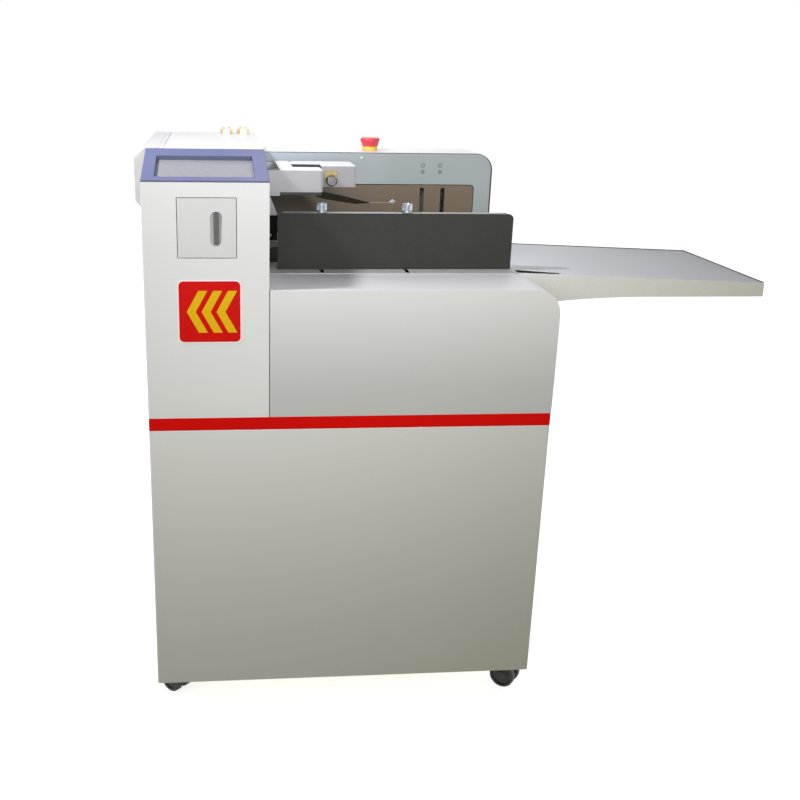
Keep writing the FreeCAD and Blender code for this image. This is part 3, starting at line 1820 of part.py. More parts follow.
def die_bar():
    bar = box(
        "die_block",
        (f"{CREASE_LINE} - die_width / 2", UNIT_INNER_FRONT, f"{PATH} - nip_gap - die_depth"),
        (f"{CREASE_LINE} + die_width / 2", "unit_back", f"{PATH} - nip_gap"),
    )
    groove = box(
        "die_groove",
        (f"{CREASE_LINE} - groove_width / 2", "unit_front", f"{PATH} - nip_gap - groove_depth"),
        (f"{CREASE_LINE} + groove_width / 2", "unit_back + plate_thick", PATH),
    )
    return cut("die_bar", bar, groove)


BLADE_TIP = f"({PATH} + blade_lift)"


def blade_beam():
    """Pressing beam that slides in the side plates' windows; the blade sits in its lower groove."""
    beam = box(
        "beam_block",
        (f"{CREASE_LINE} - beam_width / 2", "unit_front - beam_reach", f"{BLADE_TIP} + blade_show"),
        (f"{CREASE_LINE} + beam_width / 2", "unit_back + plate_thick + beam_reach", BEAM_TOP),
    )
    groove = box(
        "beam_groove",
        (f"{CREASE_LINE} - blade_thick / 2", "unit_front - 2 * beam_reach", BLADE_TIP),
        (
            f"{CREASE_LINE} + blade_thick / 2",
            "unit_back + plate_thick + 2 * beam_reach",
            f"{BLADE_TIP} + blade_height",
        ),
    )
    return cut("blade_beam", beam, groove)


def crease_blade():
    return box(
        "crease_blade",
        (f"{CREASE_LINE} - blade_thick / 2", f"{UNIT_INNER_FRONT} + seam", BLADE_TIP),
        (f"{CREASE_LINE} + blade_thick / 2", "unit_back - seam", f"{BLADE_TIP} + blade_height"),
    )


def eccentric_shaft():
    """Shaft with two eccentric discs over the beam and a hand wheel behind the access door."""
    pieces = [
        rod(
            "eccentric_rod",
            "Y",
            (CREASE_LINE, "wheel_front", SHAFT_LEVEL),
            "shaft_radius",
            "unit_back + plate_thick + journal_reach - wheel_front",
        ),
        rod(
            "hand_wheel",
            "Y",
            (CREASE_LINE, "wheel_front", SHAFT_LEVEL),
            "wheel_radius",
            "wheel_width",
        ),
    ]
    for name, start in (
        ("front", f"{UNIT_INNER_FRONT} + cam_inset"),
        ("back", "unit_back - cam_inset - cam_width"),
    ):
        pieces.append(
            rod(
                f"cam_{name}",
                "Y",
                (CREASE_LINE, start, f"{SHAFT_LEVEL} + cam_throw"),
                "cam_radius",
                "cam_width",
            )
        )
    return fuse("eccentric_shaft", *pieces)


def drive_motor():
    """Gear motor bolted to the back of the front side plate."""
    case = rod(
        "motor_case", "Y", (CREASE_LINE, UNIT_INNER_FRONT, MOTOR_LEVEL), "motor_radius", "motor_length"
    )
    bore = rod(
        "motor_bore",
        "Y",
        (CREASE_LINE, f"{UNIT_INNER_FRONT} - 1", MOTOR_LEVEL),
        "journal + running_gap",
        "4 * journal_reach",
    )
    return cut("drive_motor", case, bore)


def motor_pulley():
    shaft = rod(
        "motor_shaft",
        "Y",
        (CREASE_LINE, SHAFT_START, MOTOR_LEVEL),
        "journal",
        "journal_reach + plate_thick + 3 * journal_reach",
    )
    return fuse("motor_pulley", pulley("motor_pulley_disc", CREASE_LINE, MOTOR_LEVEL), shaft)


def drive_belt():
    """One belt round the motor pulley and both lower rollers' pulleys, which are equally large."""
    front = number(f"{SHAFT_START} - pulley_width + journal_reach / 2 + seam")
    corners = [
        (number(CREASE_LINE), number(MOTOR_LEVEL)),
        (number(INFEED_LINE), number(NIP_LOW)),
        (number(OUTFEED_LINE), number(NIP_LOW)),
    ]
    points = [FreeCAD.Vector(x, front, z) for x, z in corners]
    loop = Part.Face(Part.makePolygon(points + points[:1]))
    inner = number("pulley_radius + belt_gap")
    outer = number("pulley_radius + belt_gap + belt_thick")
    band = loop.makeOffset2D(outer).cut(loop.makeOffset2D(inner))
    belt = doc.addObject("Part::Feature", "drive_belt")
    belt.Shape = band.extrude(FreeCAD.Vector(0, number("pulley_width - 2 * seam"), 0)).Solids[0]
    belt.Placement = FreeCAD.Placement(
        FreeCAD.Vector(-number(MIDDLE_X), -number(MIDDLE_Y), 0),
        FreeCAD.Rotation(),
    )
    return belt


DRUM_LEVEL = f"({DECK_TOP} - drum_radius - fence_gap)"


def suction_drum():
    """Perforated feed drum with its axle; the suction holes are in rows round it."""
    shell = rod(
        "drum_shell_rod", "Y", (DRUM_LINE, "drum_front", DRUM_LEVEL), "drum_radius", "drum_length"
    )
    hollow = rod(
        "drum_hollow",
        "Y",
        (DRUM_LINE, "drum_front + drum_shell", DRUM_LEVEL),
        "drum_radius - drum_shell",
        "drum_length - 2 * drum_shell",
    )
    axle = rod(
        "drum_axle",
        "Y",
        (DRUM_LINE, "drum_front - 3 * drum_gap - skin", DRUM_LEVEL),
        "journal",
        "drum_length + 6 * drum_gap + 2 * skin",
    )
    return fuse("suction_drum", cut("drum_tube", shell, hollow), axle)


def suction_box():
    """Trough under the deck round the drum, with the hollow duct down to the blower."""
    low = "(deck_level - box_height)"
    outer = box(
        "trough_outer",
        (f"{DRUM_LINE} - drum_radius - drum_gap - skin", "drum_front - drum_gap - skin", low),
        (
            f"{DRUM_LINE} + drum_radius + drum_gap + skin",
            "drum_front + drum_length + drum_gap + skin",
            "deck_level",
        ),
    )
    inner = box(
        "trough_inner",
        (f"{DRUM_LINE} - drum_radius - drum_gap", "drum_front - drum_gap", f"{low} + skin"),
        (
            f"{DRUM_LINE} + drum_radius + drum_gap",
            "drum_front + drum_length + drum_gap",
            "deck_level + 1",
        ),
    )
    bore = rod(
        "trough_bore",
        "Y",
        (DRUM_LINE, "drum_front - 2 * drum_gap - skin", DRUM_LEVEL),
        "journal + running_gap",
        "drum_length + 4 * drum_gap + 2 * skin",
    )
    pipe = duct("duct_outer", "0", BLOWER_TOP, f"{low} + skin")
    way = duct("duct_inner", "skin", f"{BLOWER_TOP} - 1", f"{low} + 2 * skin")
    return cut("suction_box", fuse("trough_with_duct", outer, pipe), inner, bore, way)


# ---- cabinet contents --------------------------------------------------------------------------------


DUCT_LEFT = f"({DRUM_LINE} - duct_size / 2)"
BLOWER_LINE = f"({DRUM_LINE} + duct_size / 2 - blower_radius)"
BLOWER_TOP = "(caster_height + base_thick + blower_lift + blower_outlet)"


def duct(label, inset, low, high):
    """The square way from the blower's outlet up to the trough, narrowed by inset."""
    return box(
        label,
        (f"{DUCT_LEFT} + {inset}", f"blower_front + {inset}", low),
        (f"{DUCT_LEFT} + duct_size - {inset}", f"blower_front + duct_size - {inset}", high),
    )


def blower():
    """Vacuum blower on the base plate with its square outlet."""
    floor = "(caster_height + base_thick)"
    centre = f"({floor} + blower_lift)"
    scroll = rod(
        "blower_scroll",
        "Y",
        (BLOWER_LINE, "blower_front", centre),
        "blower_radius",
        "blower_width",
    )
    foot = box(
        "blower_foot_block",
        (f"{BLOWER_LINE} - blower_foot", "blower_front", floor),
        (f"{BLOWER_LINE} + blower_foot", "blower_front + blower_width", centre),
    )
    outlet = duct("blower_outlet_block", "0", centre, BLOWER_TOP)
    return fuse("blower", scroll, foot, outlet)


def control_box():
    """Sheet-metal cover over the electrics, open towards the base plate."""
    floor = "(caster_height + base_thick)"
    front = "(blower_front + blower_width + supply_gap)"

    def block(label, inset, low):
        return box(
            label,
            (f"supply_left + {inset}", f"{front} + {inset}", low),
            (
                f"supply_left + supply_width - {inset}",
                f"case_depth - supply_back - {inset}",
                f"{floor} + supply_height - {inset}",
            ),
        )

    return cut(
        "control_box",
        block("supply_outer", "0", floor),
        block("supply_inner", "skin", f"{floor} - 1"),
    )


# ---- casters -----------------------------------------------------------------------------------------


def caster_plates():
    plates = []
    top = "caster_height"
    for name, (x, y) in CASTER_SIDE.items():
        plate = box(
            f"plate_{name}",
            (f"{x} - caster_plate / 2", f"{y} - caster_plate / 2", f"{top} - caster_plate_thick"),
            (f"{x} + caster_plate / 2", f"{y} + caster_plate / 2", top),
        )
        pin = rod(
            f"pin_{name}",
            "Z",
            (x, y, "2 * caster_wheel + seam"),
            "caster_pin",
            f"{top} - 2 * caster_wheel - seam",
        )
        plates.append(fuse(f"caster_plate_{name}", plate, pin))
    return group("caster_plates", *plates)


def turned(piece, corner):
    """Puts a caster piece modelled about its own stem at its corner, at its rest yaw."""
    x, y = CASTER_SIDE[corner]
    piece.Placement = FreeCAD.Placement(
        FreeCAD.Vector(),
        FreeCAD.Rotation(FreeCAD.Vector(0, 0, 1), CASTER_YAW[corner]),
    )
    case_at(piece, x, y, "0")
    return piece


def caster_fork(corner):
    """Hub round the plate's pin, web between the wheels and axle; it trails along its own +X."""
    name = f"caster_fork_{corner}"
    hub = rod(
        f"{name}_hub",
        "Z",
        ("0", "0", "2 * caster_wheel + seam"),
        "caster_hub",
        "caster_height - caster_plate_thick - caster_hub_gap - 2 * caster_wheel - seam",
        local=True,
    )
    web = box(
        f"{name}_web",
        ("-caster_hub / 2", "-caster_web / 2", "caster_wheel - 2 * caster_axle"),
        ("caster_trail + 2 * caster_axle", "caster_web / 2", "2 * caster_wheel + 2 * seam"),
        local=True,
    )
    axle = rod(
        f"{name}_axle",
        "Y",
        ("caster_trail", "-caster_web / 2 - caster_tread - caster_side_gap", "caster_wheel"),
        "caster_axle",
        "caster_web + 2 * caster_tread + 2 * caster_side_gap",
        local=True,
    )
    bore = rod(
        f"{name}_bore",
        "Z",
        ("0", "0", "2 * caster_wheel"),
        "caster_pin + running_gap",
        "caster_height",
        local=True,
    )
    return turned(cut(name, fuse(f"{name}_pieces", hub, web, axle), bore), corner)


def caster_wheels(corner):
    """The twin wheels on one axle."""
    name = f"caster_wheels_{corner}"
    wheels = []
    for side, start in (
        ("left", "-caster_web / 2 - caster_side_gap - caster_tread"),
        ("right", "caster_web / 2 + caster_side_gap"),
    ):
        disc = rod(
            f"{name}_{side}_disc",
            "Y",
            ("caster_trail", start, "caster_wheel"),
            "caster_wheel",
            "caster_tread",
            True,
        )
        bore = rod(
            f"{name}_{side}_bore",
            "Y",
            ("caster_trail", f"{start} - 1", "caster_wheel"),
            "caster_axle + running_gap",
            "caster_tread + 2",
            True,
        )
        wheels.append(cut(f"{name}_{side}", disc, bore))
    return turned(group(name, *wheels), corner)


# ---- fasteners ---------------------------------------------------------------------------------------


def cover_screws():
    """Button heads on the bridge panel and the feed head."""
    pieces = [
        rod(
            "screw_panel",
            "Y",
            ("panel_screw", "bridge_front - screw_height", f"{BRIDGE_LEVEL} - panel_screw_drop"),
            "screw_head",
            "screw_height",
        ),
        rod(
            "screw_head_top",
            "Z",
            (f"{HEAD_SLOT_LEFT} + skin", "head_back - 3 * screw_head", f"{HEAD_LOW} + head_height"),
            "screw_head",
            "screw_height",
        ),
    ]
    for name, x in (
        ("left", "tower_width + 8 * screw_head"),
        ("right", f"{BRIDGE_END} - 8 * screw_head"),
    ):
        pieces.append(
            rod(
                f"screw_low_{name}",
                "Y",
                (x, "bridge_front - screw_height", f"{WINDOW_LOW} - 2 * screw_head"),
                "screw_head",
                "screw_height",
            )
        )
    return group("cover_screws", *pieces)


# ---- the whole machine -------------------------------------------------------------------------------

node("base_plate", base_plate())
node("cabinet_shell", u_shell("cabinet_shell", "skin", "caster_height", TRIM_LEVEL, "fold_radius"))
node("trim_band", u_shell("trim_band", "trim_thick", TRIM_LEVEL, TRIM_TOP, "fold_radius"))
node("bed_plate", bed_plate())
node("back_panel", back_panel())
node("mains_inlet", mains_inlet())
node("power_rocker", power_rocker())
node("upper_casing", upper_casing())
node("deck_plate", deck_plate())
node("feed_tray", feed_tray())
node("tower_front_panel", tower_front_panel())
node("tower_cover", tower_cover())
node("console_bezel", console_bezel())
node("touch_screen", touch_screen())
node("hood_hinge", hood_hinge())
node("delivery_hood", delivery_hood())
node("access_door", access_door())
node("air_fittings", air_fittings())
node("bridge_housing", bridge_housing())
node("bridge_front_panel", bridge_front_panel())
node("bridge_window", bridge_window())
node("air_lever_left", air_lever("air_lever_left", VENT_FIRST))
node("air_lever_right", air_lever("air_lever_right", VENT_SECOND))
node("estop_base", estop_base())
node("estop_stem", estop_stem())
node("estop_head", estop_head())
node("feed_head_bracket", feed_head_bracket())
node("separator_plate", separator_plate())
node("separator_knob", separator_knob())
node("hold_down_arm", hold_down_arm())
node("throat_guide", throat_guide())
node("fence_plate", fence_plate())
node("clamp_post_left", clamp_post("clamp_post_left", SLOT_FIRST))
node("clamp_post_right", clamp_post("clamp_post_right", SLOT_SECOND))
node("unit_side_plates", unit_side_plates())
node("infeed_roller_lower", roller("infeed_roller_lower", INFEED_LINE, NIP_LOW, True))
node("infeed_roller_upper", roller("infeed_roller_upper", INFEED_LINE, NIP_HIGH, False))
node("outfeed_roller_lower", roller("outfeed_roller_lower", OUTFEED_LINE, NIP_LOW, True))
node("outfeed_roller_upper", roller("outfeed_roller_upper", OUTFEED_LINE, NIP_HIGH, False))
node("die_bar", die_bar())
node("blade_beam", blade_beam())
node("crease_blade", crease_blade())
node("eccentric_shaft", eccentric_shaft())
node("drive_motor", drive_motor())
node("motor_pulley", motor_pulley())
node("drive_belt", drive_belt())
node("suction_drum", suction_drum())
node("suction_box", suction_box())
node("blower", blower())
node("control_box", control_box())
node("caster_plates", caster_plates())
for corner in CASTER_SIDE:
    node(f"caster_fork_{corner}", caster_fork(corner))
    node(f"caster_wheels_{corner}", caster_wheels(corner))
node("cover_screws", cover_screws())

doc.recompute()

for thing in doc.Objects:
    if {"Invalid", "Error"} & set(thing.State):
        raise RuntimeError(f"{thing.Label} did not build: {thing.State}")
for piece in nodes:
    if piece.Shape.isNull() or not piece.Shape.isValid():
        raise RuntimeError(f"{piece.Label} has no valid shape")

os.makedirs("parts", exist_ok=True)
for piece in nodes:
    piece.Shape.exportStep(os.path.join("parts", f"{piece.Label}.step"))
    middle = piece.Shape.BoundBox
    print(
        f"{piece.Label}: {len(piece.Shape.Solids)} solids, {piece.Shape.Volume / 1000:.1f} cm3,"
        f" x {middle.XMin:.1f}..{middle.XMax:.1f} y {middle.YMin:.1f}..{middle.YMax:.1f}"
        f" z {middle.ZMin:.1f}..{middle.ZMax:.1f}"
    )
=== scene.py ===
import json
import math

import bmesh
import bpy
from mathutils import Matrix, Vector


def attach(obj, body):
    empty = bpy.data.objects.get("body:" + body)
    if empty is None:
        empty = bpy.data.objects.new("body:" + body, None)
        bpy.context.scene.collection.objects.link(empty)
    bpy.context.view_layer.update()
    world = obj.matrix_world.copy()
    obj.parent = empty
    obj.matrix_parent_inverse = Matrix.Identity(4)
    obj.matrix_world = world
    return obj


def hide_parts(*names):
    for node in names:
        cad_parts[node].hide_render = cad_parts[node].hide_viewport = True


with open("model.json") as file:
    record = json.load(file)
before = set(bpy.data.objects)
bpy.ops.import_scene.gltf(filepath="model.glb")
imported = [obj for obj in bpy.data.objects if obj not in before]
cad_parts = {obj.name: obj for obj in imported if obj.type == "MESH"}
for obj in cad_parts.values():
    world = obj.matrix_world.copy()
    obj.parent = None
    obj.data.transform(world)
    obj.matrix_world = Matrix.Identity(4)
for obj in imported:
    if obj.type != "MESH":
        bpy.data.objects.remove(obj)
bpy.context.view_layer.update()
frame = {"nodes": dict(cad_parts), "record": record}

MM = 0.001
MIDDLE = Vector((572.85, 320, 0))  # middle of the whole machine's footprint
BODY_OF = {n: body for body, names in frame["record"]["behaviour"]["bodies"].items() for n in names}
SLOT_OF = {row["node"]: row["material_slot"] for row in frame["record"]["subparts"]}


def at(x, y, z):
    """A point given in millimetres from the case's left face, front face and the floor."""
    return (Vector((x, y, z)) - MIDDLE) * MM


# ---- finishes ------------------------------------------------------------------------------------
# Pattern sizes in millimetres; 1000 / size is how often a pattern comes in a metre.

CLOUD = 240  # slow change of tone over a sprayed or rolled sheet
ORANGE_PEEL = 2.4  # waves in baked powder paint
SPECK = 1.6  # pigment speckle, really 0.2, drawn coarser to show
MOULD_GRAIN = 1.2  # spark-eroded mould texture, really 0.1, drawn coarser
ROLLING_LINE = 1.8  # lines left by rolling, really 0.3, drawn coarser
TURNING_LINE = 0.9  # tool marks of a lathe, really 0.1, drawn coarser
HANDLING_MARK = 9  # finger marks and dulled spots
RUBBER_GRAIN = 0.8  # grain of ground rubber, drawn coarser
DUST = 28  # patches of settled dust on sheet plastic

# Depths of the relief in millimetres.
PEEL_DEPTH = 0.03
METAL_LINE_DEPTH = 0.01
PLATING_DEPTH = 0.006
DUST_DEPTH = 0.003
RUBBER_DEPTH = 0.05

USUAL = {"From_Min": 0.3, "From_Max": 0.7}  # where most of a noise pattern's values lie
PIGMENT = "#6f6f6a"  # the darkest grains in the paint


def linear(code):
    """An sRGB hex colour as linear RGBA."""
    parts = [int(code[i : i + 2], 16) / 255 for i in (1, 3, 5)]
    return (*(c / 12.92 if c <= 0.04045 else ((c + 0.055) / 1.055) ** 2.4 for c in parts), 1)


def add(tree, kind, settings=None, **inputs):
    """Adds a shader node with its settings and links. A name such as _1 is the input's number."""
    made = tree.nodes.new("ShaderNode" + kind)
    for name, value in (settings or {}).items():
        setattr(made, name, value)
    for name, value in inputs.items():
        key = int(name[1:]) if name[0] == "_" else name.replace("_", " ")
        if isinstance(value, bpy.types.NodeSocket):
            tree.links.new(value, made.inputs[key])
        else:
            made.inputs[key].default_value = value
    return made.outputs


def new_finish(name):
    """An empty material, its tree and the piece's own coordinates in metres."""
    material = bpy.data.materials.new(name)
    material.use_nodes = True
    material.node_tree.nodes.clear()
    return material, material.node_tree, add(material.node_tree, "TexCoord")["Object"]


def painted_shade_falloff(tree, place, axis, start, end):
    """Goes from 0 to 1 along an axis, between two places given in millimetres as for at(): where
    painted shade comes in.
    """
    along = add(tree, "SeparateXYZ", Vector=place)[axis]
    low, high = (at(mark, 0, mark)["XYZ".index(axis)] for mark in (start, end))
    return add(tree, "MapRange", Value=along, From_Min=low, From_Max=high)[0]


def two_tones(tree, marks, code, shade):
    """A colour that changes from the code to the shade as the marks do."""
    share = add(tree, "MapRange", Value=marks, **USUAL)[0]
    return add(tree, "Mix", {"data_type": "RGBA"}, _0=share, _6=linear(code), _7=linear(shade))[2]


def surfaced(material, colour, marks, roughs, relief, depth, strength=1.0, **constants):
    """Ends a finish: its roughness goes with the marks from the first value to the second, and the
    relief bends the light."""
    tree = material.node_tree
    rough = add(tree, "MapRange", Value=marks, To_Min=roughs[0], To_Max=roughs[1], **USUAL)[0]
    skin = add(tree, "Bump", Height=relief, Distance=depth * MM, Strength=strength)[0]
    body = add(tree, "BsdfPrincipled", Base_Color=colour, Roughness=rough, Normal=skin, **constants)
    add(tree, "OutputMaterial", Surface=body[0])
    return material


def powder_coat(name, code, shade, rough=0.42, specks=0.08, painted_shade_drift=None, **constants):
    """Baked powder paint: a soft gloss broken by orange peel, faint clouding and fine speckle. The
    second tone comes in clouds, or as painted shade that drifts, as with ("X", 60, 660), from one
    place to the other."""
    material, tree, place = new_finish(name)
    clouds = add(tree, "TexNoise", Vector=place, Scale=1000 / CLOUD, Detail=3.0)["Fac"]
    if painted_shade_drift:
        share = painted_shade_falloff(tree, place, *painted_shade_drift)
    else:
        share = add(tree, "MapRange", Value=clouds, From_Min=0.35, From_Max=0.65)[0]
    base = add(tree, "Mix", {"data_type": "RGBA"}, _0=share, _6=linear(code), _7=linear(shade))[2]
    grit = add(tree, "TexNoise", Vector=place, Scale=1000 / SPECK, Detail=1.0)["Fac"]
    speck = add(tree, "MapRange", Value=grit, From_Min=0.5, From_Max=0.75, To_Max=specks)[0]
    speckled = add(tree, "Mix", {"data_type": "RGBA"}, _0=speck, _6=base, _7=linear(PIGMENT))[2]
    waves = add(tree, "TexNoise", Vector=place, Scale=1000 / ORANGE_PEEL, Detail=2.0)["Fac"]
    roughs = rough - 0.04, rough + 0.06
    return surfaced(material, speckled, clouds, roughs, waves, PEEL_DEPTH, **constants)


def moulded_plastic(name, code, shade, rough=0.45, grain=0.02, **constants):
    """Injection-moulded plastic or printed film: even colour, and a satin sheen from the fine grain
    of the mould, whose depth is in millimetres."""
    material, tree, place = new_finish(name)
    flow = add(tree, "TexNoise", Vector=place, Scale=1000 / HANDLING_MARK, Detail=3.0)["Fac"]
    pits = add(tree, "TexNoise", Vector=place, Scale=1000 / MOULD_GRAIN, Detail=3.0)["Fac"]
    colour = two_tones(tree, flow, code, shade)
    return surfaced(material, colour, flow, (rough - 0.05, rough + 0.07), pits, grain, **constants)


def rolled_metal(name, code, shade, rough=0.32):
    """Cold-rolled sheet or drawn bar: fine lines along the rolling direction streak the gloss."""
    material, tree, place = new_finish(name)
    stretched = add(tree, "Mapping", Vector=place, Scale=(0.03, 1, 1))[0]
    lines = add(tree, "TexNoise", Vector=stretched, Scale=1000 / ROLLING_LINE, Detail=4.0)["Fac"]
    colour = two_tones(tree, lines, code, shade)
    roughs = rough - 0.07, rough + 0.09
    return surfaced(material, colour, lines, roughs, lines, METAL_LINE_DEPTH, 0.8, Metallic=1.0)


def plated_metal(name, code, shade, rough):
    """Plated or polished metal: a smooth mirror dulled in patches by handling."""
    material, tree, place = new_finish(name)
    marks = add(tree, "TexNoise", Vector=place, Scale=1000 / HANDLING_MARK, Detail=4.0)["Fac"]
    pits = add(tree, "TexNoise", Vector=place, Scale=1000 / MOULD_GRAIN, Detail=3.0)["Fac"]
    colour = two_tones(tree, marks, code, shade)
    roughs = rough - 0.05, rough + 0.1
    return surfaced(material, colour, marks, roughs, pits, PLATING_DEPTH, Metallic=1.0)


def turned_metal(name, code, shade):
    """Bar turned on a lathe: rings of tool marks round the piece's upright axis."""
    material, tree, place = new_finish(name)
    stretched = add(tree, "Mapping", Vector=place, Scale=(0.02, 0.02, 1))[0]
    rings = add(tree, "TexNoise", Vector=stretched, Scale=1000 / TURNING_LINE, Detail=3.0)["Fac"]
    colour = two_tones(tree, rings, code, shade)
    roughs = 0.22, 0.36
    return surfaced(material, colour, rings, roughs, rings, METAL_LINE_DEPTH, 0.8, Metallic=1.0)


def cast_acrylic(name, left, right, rough=0.22, **constants):
    """Cast sheet plastic under a dusty polish, with painted shade: its colour changes from the left
    end to the right.
    """
    material, tree, place = new_finish(name)
    share = painted_shade_falloff(tree, place, "X", 210, 500)
    base = add(tree, "Mix", {"data_type": "RGBA"}, _0=share, _6=linear(left), _7=linear(right))[2]
    dust = add(tree, "TexNoise", Vector=place, Scale=1000 / DUST, Detail=3.0)["Fac"]
    specks = add(tree, "TexNoise", Vector=place, Scale=1000 / SPECK, Detail=1.0)["Fac"]
    roughs = rough - 0.03, rough + 0.05
    return surfaced(material, base, dust, roughs, specks, DUST_DEPTH, **constants)


def ground_rubber(name, code, shade, rough=0.7, **constants):
    """Ground rubber or urethane: dull, with a grain that scatters what little it reflects."""
    material, tree, place = new_finish(name)
    scuffs = add(tree, "TexNoise", Vector=place, Scale=1000 / HANDLING_MARK, Detail=4.0)["Fac"]
    grain = add(tree, "TexNoise", Vector=place, Scale=1000 / RUBBER_GRAIN, Detail=3.0)["Fac"]
    colour = two_tones(tree, scuffs, code, shade)
    roughs = rough - 0.06, rough + 0.1
    return surfaced(material, colour, scuffs, roughs, grain, RUBBER_DEPTH, **constants)


